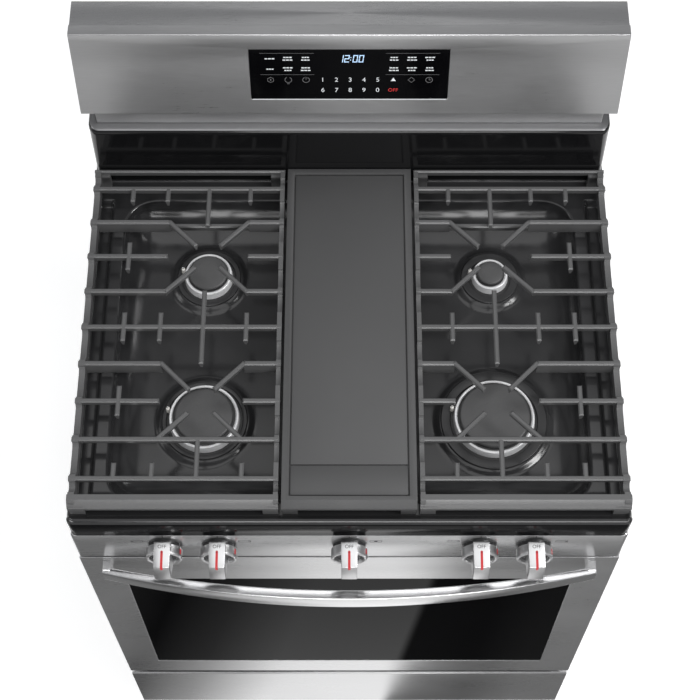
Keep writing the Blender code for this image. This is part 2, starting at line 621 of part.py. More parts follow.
def fan():
    radius, front, back = 0.105, 0.1700, 0.2152
    cover = rod("fan_cover", radius, (0.0, front, FAN_Z), (0.0, back, FAN_Z), "oven_enamel", 32)
    hollow = rod("fan_room", radius - 0.0025, (0.0, front + 0.0025, FAN_Z), (0.0, back + 0.02, FAN_Z),
                 sides=32)
    slots = []
    for i in range(10):
        angle = 2 * math.pi * i / 10
        at = Vector((0.055 * math.sin(angle), front, FAN_Z + 0.055 * math.cos(angle)))
        half = Vector((0.005, 0.010, 0.026))
        slots.append(box("slot", at - half, at + half, turn=(0.0, angle, 0.0)))
    cut(cover, hollow, *slots)
    blade = rod("fan_blade", 0.0150, (0.0, 0.188, FAN_Z), (0.0, 0.2080, FAN_Z), "galvanised", 16)
    vanes = []
    for i in range(6):
        angle = 2 * math.pi * i / 6
        at = Vector((0.045 * math.sin(angle), 0.197, FAN_Z + 0.045 * math.cos(angle)))
        half = Vector((0.0012, 0.009, 0.035))
        vanes.append(box("vane", at - half, at + half, turn=(0.0, angle, 0.0)))
    shaft = rod("shaft", 0.0040, (0.0, 0.20, FAN_Z), (0.0, 0.2345, FAN_Z), sides=10)
    fuse(blade, *vanes, shaft)
    hang_on("fan_axis", (0.0, 0.197, FAN_Z), [blade])
    motor = rod("fan_motor", 0.0400, (0.0, 0.2200, FAN_Z), (0.0, 0.2780, FAN_Z), "galvanised", 20)
    cut(motor, rod("shaft_room", 0.0050, (0.0, 0.21, FAN_Z), (0.0, 0.2400, FAN_Z), sides=12))
    turned("oven_lamp", [(0.0, 0.0240), (0.0120, 0.0215), (0.0200, 0.0130), (0.0220, 0.0), (0.0, 0.0)],
           (-0.235, CAVITY_BACK - GAP, 0.655), "clear_glass", 16, turn=(math.radians(90), 0.0, 0.0))


# ---- door and drawer ----
def hinge_notch(label):
    """Room in the door for the hinge arms, which point back when it is shut and down when it is open."""
    reach = 0.0110
    return [box(f"{label}_notch", (side * HINGE_X - 0.0055, DOOR_PIVOT.y - reach, DOOR_LOW - 0.02),
                (side * HINGE_X + 0.0055, DOOR_BACK + 0.02, DOOR_PIVOT.z + reach)) for side in (-1, 1)]


def door():
    """The door: steel skin round a glass, an enamelled inner panel with its own pane, and the handle."""
    low, high, edge = DOOR_LOW, DOOR_HIGH, 0.0005
    skin = tray("door_skin", (-HALF_WIDTH, DOOR_FACE, low), (HALF_WIDTH, DOOR_BACK - 0.0025, high), 0.002,
                "stainless", "+Y")
    window = box("window", (-WINDOW_HALF, -0.32, WINDOW_LOW), (WINDOW_HALF, -0.285, WINDOW_HIGH))
    cut(skin, window, *hinge_notch("skin"))
    glass = box("door_glass", (-WINDOW_HALF + edge, DOOR_FACE + 0.0006, WINDOW_LOW + edge),
                (WINDOW_HALF - edge, DOOR_FACE + 0.0046, WINDOW_HIGH - edge), "dark_glass")
    inner = tray("door_inner_panel", (-HALF_WIDTH + 0.0025, -0.2820, low + 0.0025),
                 (HALF_WIDTH - 0.0025, DOOR_BACK, high - 0.0025), 0.0025, "oven_enamel", "-Y")
    pins, blocks = [], []
    for side in (-1, 1):
        x = side * HINGE_X
        pins.append(rod("pin", 0.0030, (x - 0.0075, *DOOR_PIVOT.yz), (x + 0.0075, *DOOR_PIVOT.yz), sides=12))
        blocks.append(box("pin_block", (x - 0.0120, -0.2815, low + 0.003),
                          (x + 0.0120, -0.2560, DOOR_PIVOT.z + 0.015)))
    view = box("view", (-0.225, -0.27, 0.395), (0.225, -0.24, 0.645), corner=0.015, edges="Y", segments=3)
    fuse(inner, *blocks)
    cut(inner, view, *hinge_notch("inner"))
    fuse(inner, *pins)
    pane = box("door_inner_glass", (-0.240, -0.2610, 0.380), (0.240, -0.2575, 0.660), "clear_glass")
    hang_on("door_pivot", DOOR_PIVOT, [skin, glass, inner, pane, door_handle()])


def hinge_arms():
    """The arms that stand out of the front frame; each has an eye round the door's hinge pin."""
    half, centre = 0.0035, DOOR_PIVOT.yz
    for side, label in ((-1, "left"), (1, "right")):
        x = side * HINGE_X
        arm = box(f"door_hinge_{label}", (x - half, DOOR_PIVOT.y, DOOR_PIVOT.z - 0.0060),
                  (x + half, -0.2463, DOOR_PIVOT.z + 0.0060), "galvanised")
        eye = rod("eye", 0.0085, (x - half, *centre), (x + half, *centre), sides=20)
        plate = box("plate", (x - 0.0120, -0.2490, DOOR_PIVOT.z - 0.0110),
                    (x + 0.0120, -0.2463, DOOR_PIVOT.z + 0.030))
        fuse(arm, eye, plate)
        cut(arm, rod("eye_hole", 0.0034, (x - 0.01, *centre), (x + 0.01, *centre), sides=16))


def door_handle():
    """A bowed bar that grows towards its middle, its face leaning forward, on two end posts."""
    half, slices, top = 0.3465, 20, DOOR_HIGH - 0.004
    reach, depth, tall, lean = (0.0220, 0.0622), (0.0122, 0.0180), (0.0295, 0.0315), (0.0004, 0.0023)

    def along(pair, bow):
        return pair[0] + (pair[1] - pair[0]) * bow

    bm = bmesh.new()
    bmesh.ops.create_cube(bm, size=1.0, matrix=Matrix.Diagonal((2 * half, 1.0, 1.0, 1.0)))
    for i in range(1, slices):
        bmesh.ops.bisect_plane(bm, geom=bm.verts[:] + bm.edges[:] + bm.faces[:],
                               plane_co=(-half + 2 * half * i / slices, 0, 0), plane_no=(1, 0, 0))
    for point in bm.verts:
        bow = 1.0 - (point.co.x / half) ** 2
        set_back = along(lean, bow) if point.co.y < 0 < point.co.z else 0.0
        point.co.y = DOOR_FACE - along(reach, bow) + (point.co.y + 0.5) * along(depth, bow) + set_back
        point.co.z = top + (point.co.z - 0.5) * along(tall, bow)
    bowed = place("door_handle", mesh_of("door_handle", bm), (0.0, 0.0, 0.0), "stainless")
    posts = []
    for side in (-1, 1):
        low_x, high_x = sorted((side * (half - 0.0105), side * (half - 0.0003)))
        posts.append(box("post", (low_x, DOOR_FACE - reach[0] + 0.005, top - tall[0] + 0.001),
                         (high_x, DOOR_FACE - GAP, top - 0.001)))
    return fuse(bowed, *posts)


def drawer():
    """The storage drawer: a steel front and an open bin on two runners."""
    front = box("drawer_front", (-HALF_WIDTH, DOOR_FACE, DRAWER_LOW),
                (HALF_WIDTH, DOOR_FACE + 0.020, DRAWER_HIGH), "stainless", corner=0.003, edges="X",
                segments=2)
    bin_ = tray("drawer_box", (-0.3400, DOOR_FACE + 0.0203, 0.0600), (0.3400, 0.2000, 0.1900), 0.002,
                "side_enamel", "+Z")
    runners = []
    for side in (-1, 1):
        low_x, high_x = sorted((side * 0.3390, side * 0.3600))
        runners.append(box("runner", (low_x, -0.2400, 0.0600), (high_x, 0.1990, 0.0630)))
    fuse(bin_, *runners)
    hang_on("drawer_slide", (0.0, DOOR_FACE, 0.0600), [front, bin_])


clear_scene()
PARTS = collection("freestanding_gas_range")
CUTTERS = collection("cutters")
side_panels()
back_panel()
base_pan()
levelling_feet()
oven_liner()
front_frame()
door_gasket()
manifold_panel()
cooktop()
burners()
grate(-1, "left")
grate(1, "right")
griddle()
rear_riser()
backguard()
gas_valve_rail()
gas_supply()
for number, knob_x in enumerate(KNOB_XS, start=1):
    knob(number, knob_x)
rack("lower", RACK_ZS[0])
rack("upper", RACK_ZS[1])
oven_burners()
fan()
door()
hinge_arms()
drawer()
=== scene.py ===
"""The looks of the freestanding gas range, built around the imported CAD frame.

Everything is in metres in the CAD's frame: +Z up, the front facing -Y, the floor at Z = 0. Left and right are
those of someone who stands before the range.
"""

import math

import bmesh
import bpy
from mathutils import Matrix, Vector


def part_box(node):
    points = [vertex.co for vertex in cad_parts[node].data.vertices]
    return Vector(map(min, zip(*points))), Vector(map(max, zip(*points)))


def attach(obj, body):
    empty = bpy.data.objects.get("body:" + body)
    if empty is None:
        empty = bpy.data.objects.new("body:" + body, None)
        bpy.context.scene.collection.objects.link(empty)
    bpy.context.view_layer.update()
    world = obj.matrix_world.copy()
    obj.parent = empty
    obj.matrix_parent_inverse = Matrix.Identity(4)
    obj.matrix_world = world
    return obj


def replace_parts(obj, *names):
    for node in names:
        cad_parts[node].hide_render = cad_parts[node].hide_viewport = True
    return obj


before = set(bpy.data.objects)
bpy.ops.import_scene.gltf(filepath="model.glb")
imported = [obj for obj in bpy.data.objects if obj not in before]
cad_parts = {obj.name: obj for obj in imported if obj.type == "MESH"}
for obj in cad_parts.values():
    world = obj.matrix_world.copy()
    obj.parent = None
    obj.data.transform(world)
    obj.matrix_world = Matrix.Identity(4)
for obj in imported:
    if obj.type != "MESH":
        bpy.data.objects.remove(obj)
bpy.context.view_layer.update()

# ---- places read from the frame ----
TOP_LOW, TOP_HIGH = (Vector(v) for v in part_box("cooktop"))
DOOR_LOW = Vector(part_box("door_skin")[0])
PANEL_LOW, PANEL_HIGH = (Vector(v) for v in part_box("manifold_panel"))
HANDLE_LOW, HANDLE_HIGH = (Vector(v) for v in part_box("door_handle"))
SHELL_LOW, SHELL_HIGH = (Vector(v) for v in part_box("backguard_shell"))
RISER_LOW, RISER_HIGH = (Vector(v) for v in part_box("rear_riser"))
GRATE_LOW, GRATE_HIGH = (Vector(v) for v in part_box("grate_right"))
GRIDDLE_LOW, GRIDDLE_HIGH = (Vector(v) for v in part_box("griddle"))
GLASS_LOW, GLASS_HIGH = (Vector(v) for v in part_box("display_glass"))
KNOB_BOXES = {i: [Vector(v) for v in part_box(f"knob_{i}")] for i in range(1, 6)}
KNOB_Z = KNOB_BOXES[3][0].z + (KNOB_BOXES[3][1].x - KNOB_BOXES[3][0].x) / 2

# ---- driving sizes ----
# the cooktop: its top face, the well pressed into it, and how its outer edges and front corners are rounded
TOP_FACE = 0.9335
WELL_HALF = 0.333
WELL_FRONT = -0.262
WELL_REAR = 0.221
WELL_CORNER = 0.062
WELL_DEPTH = 0.039
OUTER_ROUND = 0.0045
CORNER_RADIUS = 0.01
# the burners' centres
BURNER_X = 0.203
REAR_BURNER_X = 0.206
BURNER_REAR_Y = 0.1054
BURNER_FRONT_Y = -0.1234
# the grates' bars
BAR_WIDTH = 0.0072
BAR_PITCH = 0.0572
BAR_MIDDLE = -0.009
# the back guard's leaning face, from its foot to its crest, and half its neck's width
FACE_BASE = Vector((0.0, 0.2678, 1.0845))
FACE_TOP = Vector((0.0, 0.2987, SHELL_HIGH.z))
NECK_HALF = 0.36
# the control panel's lean, as a slope
PANEL_LEAN = 0.04
# how far printed marks stand out of their face
PRINT = 0.00012
# turns a piece's axis from +Z to -Y, out of the range's front
FORWARD = Matrix.Rotation(math.radians(90), 4, "X")

# x, y, and the radii of cap, bright ring and flange
BURNERS = {
    "rear_left": (-REAR_BURNER_X, BURNER_REAR_Y, 0.0285, 0.0345, 0.047),
    "front_left": (-BURNER_X, BURNER_FRONT_Y, 0.041, 0.049, 0.0605),
    "rear_right": (REAR_BURNER_X, BURNER_REAR_Y, 0.0195, 0.0256, 0.0425),
    "front_right": (BURNER_X, BURNER_FRONT_Y, 0.0495, 0.0565, 0.075),
}

# for each knob: the side its burner sign is on, and where the burner lies in the sign, across and up
BURNER_SIGNS = {1: (-1, -1, -1), 2: (1, 1, 1), 3: (1, 0, 0), 4: (-1, 1, 1), 5: (1, 1, -1)}

# material by name, filled by make_materials
LOOKS = {}


# ---- materials ----
def shader_of(name, colour, metallic, roughness, **sockets):
    """A new Principled material, kept in LOOKS under its name; returns its node tree and its shader."""
    made = bpy.data.materials.new(name)
    made.use_nodes = True
    shader = made.node_tree.nodes["Principled BSDF"]
    shader.inputs["Base Color"].default_value = (*colour, 1.0)
    shader.inputs["Metallic"].default_value = metallic
    shader.inputs["Roughness"].default_value = roughness
    for label, value in sockets.items():
        shader.inputs[label.replace("_", " ")].default_value = value
    made.diffuse_color = (*colour, 1.0)
    LOOKS[name] = made
    return made.node_tree, shader


def noise(tree, stretch, detail=3.0, roughness=0.55):
    """A noise over the object's own coordinates, scaled apart along X, Y and Z."""
    place_at = tree.nodes.new("ShaderNodeTexCoord")
    mapping = tree.nodes.new("ShaderNodeMapping")
    mapping.inputs["Scale"].default_value = stretch
    texture = tree.nodes.new("ShaderNodeTexNoise")
    texture.inputs["Scale"].default_value = 1.0
    texture.inputs["Detail"].default_value = detail
    texture.inputs["Roughness"].default_value = roughness
    tree.links.new(place_at.outputs["Object"], mapping.inputs["Vector"])
    tree.links.new(mapping.outputs["Vector"], texture.inputs["Vector"])
    return texture.outputs["Fac"]


def spread(tree, value, low, high, from_low=0.3, from_high=0.7):
    """Maps the span that a noise mostly keeps to, or the one given, onto low to high."""
    remap = tree.nodes.new("ShaderNodeMapRange")
    remap.inputs["From Min"].default_value = from_low
    remap.inputs["From Max"].default_value = from_high
    remap.inputs["To Min"].default_value = low
    remap.inputs["To Max"].default_value = high
    tree.links.new(value, remap.inputs["Value"])
    return remap.outputs["Result"]


def tint(tree, value, first, second):
    """A colour that goes from first to second as a noise rises."""
    ramp = tree.nodes.new("ShaderNodeValToRGB")
    for stop, position, colour in zip(ramp.color_ramp.elements, (0.3, 0.7), (first, second)):
        stop.position = position
        stop.color = (*colour, 1.0)
    tree.links.new(value, ramp.inputs["Fac"])
    return ramp.outputs["Color"]


def varied(colour, contrast):
    """The colour a little darker, and a little lighter."""
    return [c * (1 - contrast) for c in colour], [min(1.0, c * (1 + contrast)) for c in colour]


def bump(tree, shader, value, strength, distance):
    """Fine relief from a noise."""
    relief = tree.nodes.new("ShaderNodeBump")
    relief.inputs["Strength"].default_value = strength
    relief.inputs["Distance"].default_value = distance
    tree.links.new(value, relief.inputs["Height"])
    tree.links.new(relief.outputs["Normal"], shader.inputs["Normal"])


def brushed(name, colour, roughness, grain, depth, contrast=0.05, stretch=0.0):
    """Brushed steel: fine streaks along one axis, and broad faint clouds where it was handled.

    With a stretch, highlights are drawn out across streaks that run round the upright axis.
    """
    tree, shader = shader_of(name, colour, 1.0, roughness, Anisotropic=stretch, Anisotropic_Rotation=0.25)
    if stretch:
        along = tree.nodes.new("ShaderNodeTangent")
        along.direction_type = "RADIAL"
        along.axis = "Z"
        tree.links.new(along.outputs["Tangent"], shader.inputs["Tangent"])
    streaks = noise(tree, grain, 5.0, 0.7)
    clouds = noise(tree, (5.0, 9.0, 9.0), 2.0)
    mixed = tree.nodes.new("ShaderNodeMath")
    mixed.operation = "ADD"
    tree.links.new(spread(tree, streaks, -0.03, 0.03), mixed.inputs[0])
    tree.links.new(spread(tree, clouds, roughness - 0.02, roughness + 0.02), mixed.inputs[1])
    tree.links.new(mixed.outputs["Value"], shader.inputs["Roughness"])
    tree.links.new(tint(tree, streaks, *varied(colour, contrast)), shader.inputs["Base Color"])
    bump(tree, shader, streaks, depth, 0.0001)


def enamel(name, colour, roughness, wave, speckle=0.0, gloss=0.5):
    """Fired porcelain enamel, or coated glass where there is no wave: a wet gloss, a faint orange peel, and
    pale specks if asked."""
    tree, shader = shader_of(name, colour, 0.0, roughness, Specular_IOR_Level=gloss)
    haze = noise(tree, (9.0, 9.0, 9.0), 3.0)
    tree.links.new(spread(tree, haze, roughness * 0.85, roughness * 1.25), shader.inputs["Roughness"])
    if wave:
        bump(tree, shader, noise(tree, (260.0, 260.0, 260.0), 2.0), wave, 0.00025)
    if speckle:
        dots = spread(tree, noise(tree, (1500.0, 1500.0, 1500.0), 1.0), 0.0, 1.0, 0.66, 0.72)
        colours = tint(tree, dots, colour, [c + speckle for c in colour])
    else:
        colours = tint(tree, haze, *varied(colour, 0.1))
    tree.links.new(colours, shader.inputs["Base Color"])


def grained(name, colour, roughness, size, depth, metallic=0.0, contrast=0.15, **sockets):
    """A plain moulded, cast or woven surface: a fine noise for colour and relief, a broad one for gloss."""
    tree, shader = shader_of(name, colour, metallic, roughness, **sockets)
    grain = noise(tree, (1 / size, 1 / size, 1 / size), 3.0, 0.6)
    broad = noise(tree, (14.0, 14.0, 14.0), 3.0)
    tree.links.new(tint(tree, grain, *varied(colour, contrast)), shader.inputs["Base Color"])
    rough = spread(tree, broad, roughness * 0.88, min(1.0, roughness * 1.12))
    tree.links.new(rough, shader.inputs["Roughness"])
    bump(tree, shader, grain, depth, 0.0004)


def clear_glass(name):
    """Clear glass with a faint greasy film."""
    tree, shader = shader_of(name, (0.82, 0.86, 0.86), 0.0, 0.03, Transmission_Weight=0.95, IOR=1.45)
    tree.links.new(spread(tree, noise(tree, (11.0, 11.0, 11.0)), 0.02, 0.07), shader.inputs["Roughness"])


def make_materials():
    """Every finish of the range."""
    steel, bright_steel, gloss_black = (0.56, 0.56, 0.565), (0.66, 0.66, 0.665), (0.006, 0.006, 0.0065)
    streaks = (34.0, 900.0, 900.0)
    brushed("steel_face", steel, 0.29, streaks, 0.05, 0.04, 0.75)
    brushed("steel_back", steel, 0.31, streaks, 0.05, 0.04, 0.5)
    brushed("steel_handle", bright_steel, 0.21, (12.0, 600.0, 600.0), 0.03, 0.03)
    brushed("knob_satin", bright_steel, 0.33, (500.0, 20.0, 500.0), 0.04)
    grained("steel_neck", steel, 0.5, 0.0012, 0.05, metallic=1.0, contrast=0.05)
    grained("steel_ledge", (0.26, 0.26, 0.265), 0.34, 0.0012, 0.05, metallic=1.0, contrast=0.05)
    enamel("enamel_black", (0.024, 0.024, 0.025), 0.16, 0.06)
    enamel("enamel_gloss", gloss_black, 0.1, 0.04)
    # a darker, almost gloss-free copy of the black enamel for the cooktop's skirt: painted shade
    enamel("enamel_skirt_shaded", gloss_black, 0.16, 0.04, gloss=0.03)
    enamel("enamel_oven", (0.022, 0.026, 0.036), 0.22, 0.15, speckle=0.16)
    enamel("flange_enamel", (0.03, 0.03, 0.031), 0.22, 0.05, gloss=0.4)
    enamel("glass_window", (0.0012, 0.0012, 0.0014), 0.04, 0.0, gloss=0.01)
    enamel("glass_screen", (0.0015, 0.0015, 0.002), 0.12, 0.0, gloss=0.12)
    clear_glass("glass_clear")
    grained("paint_side", (0.028, 0.028, 0.03), 0.45, 0.0012, 0.35)
    grained("iron_cast", (0.094, 0.094, 0.095), 0.35, 0.0011, 0.2, Specular_IOR_Level=0.6)
    grained("iron_griddle", (0.068, 0.068, 0.069), 0.5, 0.0009, 0.18)
    grained("cap_enamel", (0.074, 0.074, 0.075), 0.48, 0.001, 0.15)
    grained("burner_metal", (0.86, 0.86, 0.87), 0.3, 0.003, 0.04, metallic=0.12, contrast=0.03)
    grained("zinc", (0.42, 0.43, 0.44), 0.46, 0.012, 0.1, metallic=0.9, contrast=0.2)
    grained("aluminium_cast", (0.6, 0.6, 0.61), 0.36, 0.0012, 0.25, metallic=1.0)
    grained("chrome_ring", (0.86, 0.86, 0.87), 0.12, 0.004, 0.02, metallic=1.0, contrast=0.03)
    grained("chrome_wire", (0.74, 0.74, 0.75), 0.16, 0.003, 0.03, metallic=1.0, contrast=0.05)
    grained("brass_turned", (0.6, 0.45, 0.19), 0.32, 0.001, 0.1, metallic=1.0)
    # also used for painted shade: the discs in the burners' grooves and gaps and behind the knobs
    grained("knob_dark", (0.018, 0.018, 0.019), 0.4, 0.0008, 0.2)
    grained("plastic_black", (0.022, 0.022, 0.023), 0.48, 0.0009, 0.3)
    grained("board_green", (0.02, 0.12, 0.05), 0.42, 0.003, 0.2, contrast=0.4)
    grained("gasket_weave", (0.2, 0.195, 0.18), 0.92, 0.0016, 0.9, contrast=0.45)
    grained("ceramic", (0.8, 0.78, 0.74), 0.35, 0.002, 0.05)
    grained("mark_red", (0.55, 0.022, 0.028), 0.4, 0.001, 0.03, contrast=0.08)
    grained("mark_dark", (0.022, 0.022, 0.024), 0.5, 0.001, 0.03)
    grained("mark_grey", (0.16, 0.16, 0.165), 0.5, 0.001, 0.02)
    # lit_white also paints the highlight along the display window's lower edge
    for name, colour, power in (("lit_white", (0.62, 0.64, 0.66), 0.25),
                                ("lit_clock", (0.45, 0.62, 0.82), 0.55),
                                ("lit_red", (0.55, 0.03, 0.03), 0.25)):
        grained(name, colour, 0.45, 0.001, 0.02, contrast=0.06, Emission_Color=(*colour, 1.0),
                Emission_Strength=power)


# ---- objects and meshes ----
def guide(name, mesh):
    """A plain object in the scene, with nothing else done to it."""
    made = bpy.data.objects.new(name, mesh)
    bpy.context.scene.collection.objects.link(made)
    return made


def add(name, mesh, look, body="range_body"):
    """A visible piece with its finish, on its body and in its material slot."""
    made = guide(name, mesh)
    mesh.materials.clear()
    mesh.materials.append(LOOKS[look])
    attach(made, body)
    return made


def second_look(made, look, chosen):
    """Gives the faces that chosen() picks another finish."""
    made.data.materials.append(LOOKS[look])
    for face in made.data.polygons:
        if chosen(face):
            face.material_index = 1


def mesh_from(name, bm, smooth_angle=35.0):
    """The finished mesh of a bmesh, its faces pointing out."""
    bmesh.ops.recalc_face_normals(bm, faces=bm.faces)
    mesh = bpy.data.meshes.new(name)
    bm.to_mesh(mesh)
    bm.free()
    shade(mesh, smooth_angle)
    return mesh


def shade(mesh, smooth_angle):
    """Smooth shading, except across edges sharper than the angle in degrees."""
    mesh.shade_smooth()
    mesh.set_sharp_from_angle(angle=math.radians(smooth_angle))


def evaluated(target):
    """The mesh of an object as the viewport shows it, with its modifiers applied."""
    bpy.context.view_layer.update()
    graph = bpy.context.evaluated_depsgraph_get()
    return bpy.data.meshes.new_from_object(target.evaluated_get(graph))


def settled(helper, smooth_angle):
    """The evaluated and shaded mesh of a guide, which is removed."""
    mesh = evaluated(helper)
    bpy.data.objects.remove(helper, do_unlink=True)
    shade(mesh, smooth_angle)
    return mesh


def applied(target, kind, tools, dissolve=True):
    """Joins or cuts the guide target with guides, and returns the resulting mesh."""
    group = bpy.data.collections.new("tools")
    bpy.context.scene.collection.children.link(group)
    for tool in tools:
        bpy.context.scene.collection.objects.unlink(tool)
        group.objects.link(tool)
    step = target.modifiers.new("boolean", "BOOLEAN")
    step.operation = kind
    step.operand_type = "COLLECTION"
    step.collection = group
    step.solver = "EXACT"
    mesh = evaluated(target)
    for item in [target, *tools]:
        bpy.data.objects.remove(item, do_unlink=True)
    bpy.data.collections.remove(group)
    if dissolve:
        bm = bmesh.new()
        bm.from_mesh(mesh)
        bmesh.ops.remove_doubles(bm, verts=bm.verts, dist=0.00002)
        bmesh.ops.dissolve_limit(bm, angle_limit=math.radians(1.0), verts=bm.verts, edges=bm.edges)
        bm.to_mesh(mesh)
        bm.free()
    return mesh


def bevel(target, width, segments=2):
    """Small rounded edges, wherever two faces meet at more than 30 degrees."""
    step = target.modifiers.new("edges", "BEVEL")
    step.width = width
    step.segments = segments
    step.limit_method = "ANGLE"
    step.angle_limit = math.radians(30.0)


def bevelled_piece(name, mesh, look, width, segments=2, body="range_body"):
    """A piece whose edges are bevelled for good, so that it stays one plain mesh."""
    helper = guide(name + "_guide", mesh)
    bevel(helper, width, segments)
    return add(name, settled(helper, 40.0), look, body)


def merged(name, meshes, look, body="range_body"):
    """Several meshes as one piece."""
    bm = bmesh.new()
    for mesh in meshes:
        bm.from_mesh(mesh)
    mesh = bpy.data.meshes.new(name)
    bm.to_mesh(mesh)
    bm.free()
    return add(name, mesh, look, body)


def dress(node, look, width=0.0):
    """Gives a CAD node its finish and, where asked, small rounded edges."""
    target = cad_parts[node]
    for place_at in target.material_slots:
        place_at.material = LOOKS[look]
    if not target.material_slots:
        target.data.materials.append(LOOKS[look])
    if width:
        weld = target.modifiers.new("weld", "WELD")
        weld.merge_threshold = 0.00001
        bevel(target, width)


# ---- shapes ----
def box_bm(low, high):
    """A box between two corners, as a bmesh."""
    low, high = Vector(low), Vector(high)
    bm = bmesh.new()
    matrix = Matrix.Translation((low + high) / 2) @ Matrix.Diagonal((*(high - low), 1.0))
    bmesh.ops.create_cube(bm, size=1.0, matrix=matrix)
    return bm


def box_mesh(low, high):
    """A closed box between two corners."""
    return mesh_from("box", box_bm(low, high))


def beam_mesh(low, high, turn=0.0):
    """A cast grate bar: a box whose upper edges are cut at 45 degrees, and which narrows downwards."""
    chamfer, draft = 0.0017, 0.0022
    low, high = Vector(low), Vector(high)
    size = high - low
    bm = box_bm(-size / 2, size / 2)
    across = 0 if size.x < size.y else 1
    for point in bm.verts:
        if point.co.z < 0.0:
            point.co[across] -= math.copysign(draft, point.co[across])
    ridge = [e for e in bm.edges if min(v.co.z for v in e.verts) > 0.0]
    bmesh.ops.bevel(bm, geom=ridge, offset=chamfer, segments=1, affect="EDGES")
    bm.transform(Matrix.Translation((low + high) / 2) @ Matrix.Rotation(turn, 4, "Z"))
    return mesh_from("beam", bm, 20.0)


def prism_mesh(outline, low_x, high_x):
    """An outline of (y, z) points carried along X."""
    bm = bmesh.new()
    face = bm.faces.new([bm.verts.new((low_x, y, z)) for y, z in outline])
    moved = bmesh.ops.extrude_face_region(bm, geom=[face])["geom"]
    points = [item for item in moved if isinstance(item, bmesh.types.BMVert)]
    bmesh.ops.translate(bm, verts=points, vec=(high_x - low_x, 0.0, 0.0))
    return mesh_from("prism", bm)


def lathe_mesh(profile, steps=72, stretch_y=1.0):
    """A closed solid turned about Z from (radius, height) points, which start and end on the axis."""
    bm = bmesh.new()
    line = [bm.verts.new((r, 0.0, z)) for r, z in profile]
    edges = [bm.edges.new(pair) for pair in zip(line, line[1:])]
    bmesh.ops.spin(bm, geom=line + edges, cent=(0, 0, 0), axis=(0, 0, 1), angle=2 * math.pi, steps=steps,
                   use_merge=True)
    bmesh.ops.remove_doubles(bm, verts=bm.verts, dist=0.00001)
    bmesh.ops.scale(bm, verts=bm.verts, vec=(1.0, stretch_y, 1.0))
    return mesh_from("turned", bm)


def loft_mesh(rings, smooth_angle=40.0):
    """A closed skin through rings of points, with its two ends filled."""
    bm = bmesh.new()
    rows = [[bm.verts.new(p) for p in ring] for ring in rings]
    count = len(rows[0])
    for first, second in zip(rows, rows[1:]):
        for i in range(count):
            j = (i + 1) % count
            bm.faces.new((first[i], first[j], second[j], second[i]))
    bm.faces.new(rows[0])
    bm.faces.new(rows[-1])
    return mesh_from("loft", bm, smooth_angle)


def corner_arc(before, corner, after, radius, steps):
    """Points of a short arc in place of a corner, which ends halfway to its neighbours at most."""
    here = Vector(corner)
    back, on = Vector(before) - here, Vector(after) - here
    reach = min(radius, back.length * 0.45, on.length * 0.45)
    start, end = here + back.normalized() * reach, here + on.normalized() * reach
    points = []
    for i in range(steps + 1):
        t = i / steps
        points.append(tuple(start * (1 - t) ** 2 + here * 2 * t * (1 - t) + end * t ** 2))
    return points


def rounded(profile, radius):
    """The same (r, z) points with each inner corner replaced by a short arc."""
    out = [profile[0]]
    for before, corner, after in zip(profile, profile[1:], profile[2:]):
        out += corner_arc(before, corner, after, radius, 4)
    return out + [profile[-1]]


def rounded_loop(outline, radius):
    """A closed outline with each corner replaced by a short arc."""
    out = []
    for i, corner in enumerate(outline):
        out += corner_arc(outline[i - 1], corner, outline[(i + 1) % len(outline)], radius, 3)
    return out


def rolled_outline(half, front, rear, roll, steps, stretch=1.0):
    """A bar seen from above, as (x, y) points: its front rolls back at both ends in a quarter round."""
    ring = []
    for side in (-1, 1):
        arc = []
        for i in range(steps + 1):
            a = math.radians(90 * i / steps)
            x, back = half - roll + roll * math.sin(a), roll * (1 - math.cos(a)) * stretch
            arc.append((side * x, front + back))
        ring += arc[::-1] if side < 0 else arc
    return ring + [(half, rear), (-half, rear)]


def leaning(at, up):
    """A frame at a point of a face that leans along up: X right, Y up the face, Z out of it."""
    right, up = Vector((1.0, 0.0, 0.0)), up.normalized()
    return Matrix.Translation(at) @ Matrix((right, up, right.cross(up))).transposed().to_4x4()


def flat_mesh(low, high, matrix, thick=PRINT):
    """A thin printed rectangle between two (x, y) corners in a face."""
    mesh = box_mesh((*low, -thick), (*high, thick))
    mesh.transform(matrix)
    return mesh


def ring_mesh(at, radius, width, sides, matrix, gap=0.0):
    """An outlined polygon or circle, with an opening of gap radians at its top."""
    bm = bmesh.new()
    loops = []
    for i in range(sides + 1 if gap else sides):
        a = math.pi / 2 + gap / 2 + (2 * math.pi - gap) * i / sides
        outward = Vector((math.cos(a), math.sin(a), 0.0))
        loops.append([bm.verts.new(Vector((*at, z)) + outward * r) for r, z in
                      ((radius, -PRINT), (radius, PRINT), (radius - width, PRINT), (radius - width, -PRINT))])
    closing = [] if gap else [(loops[-1], loops[0])]
    for first, second in [*zip(loops, loops[1:]), *closing]:
        for i in range(4):
            j = (i + 1) % 4
            bm.faces.new((first[i], first[j], second[j], second[i]))
    if gap:
        bm.faces.new(loops[0])
        bm.faces.new(loops[-1])
    mesh = mesh_from("ring", bm)
    mesh.transform(matrix)
    return mesh


def text_mesh(words, size, at, matrix):
    """Plain characters lying in a face, as a thin mesh."""
    curve = bpy.data.curves.new("text", "FONT")
    curve.body = words
    curve.size = size
    curve.align_x = "CENTER"
    curve.align_y = "CENTER"
    curve.extrude = PRINT
    helper = guide("text", curve)
    mesh = evaluated(helper)
    bpy.data.objects.remove(helper, do_unlink=True)
    mesh.transform(matrix @ Matrix.Translation((*at, 0.0)))
    return mesh


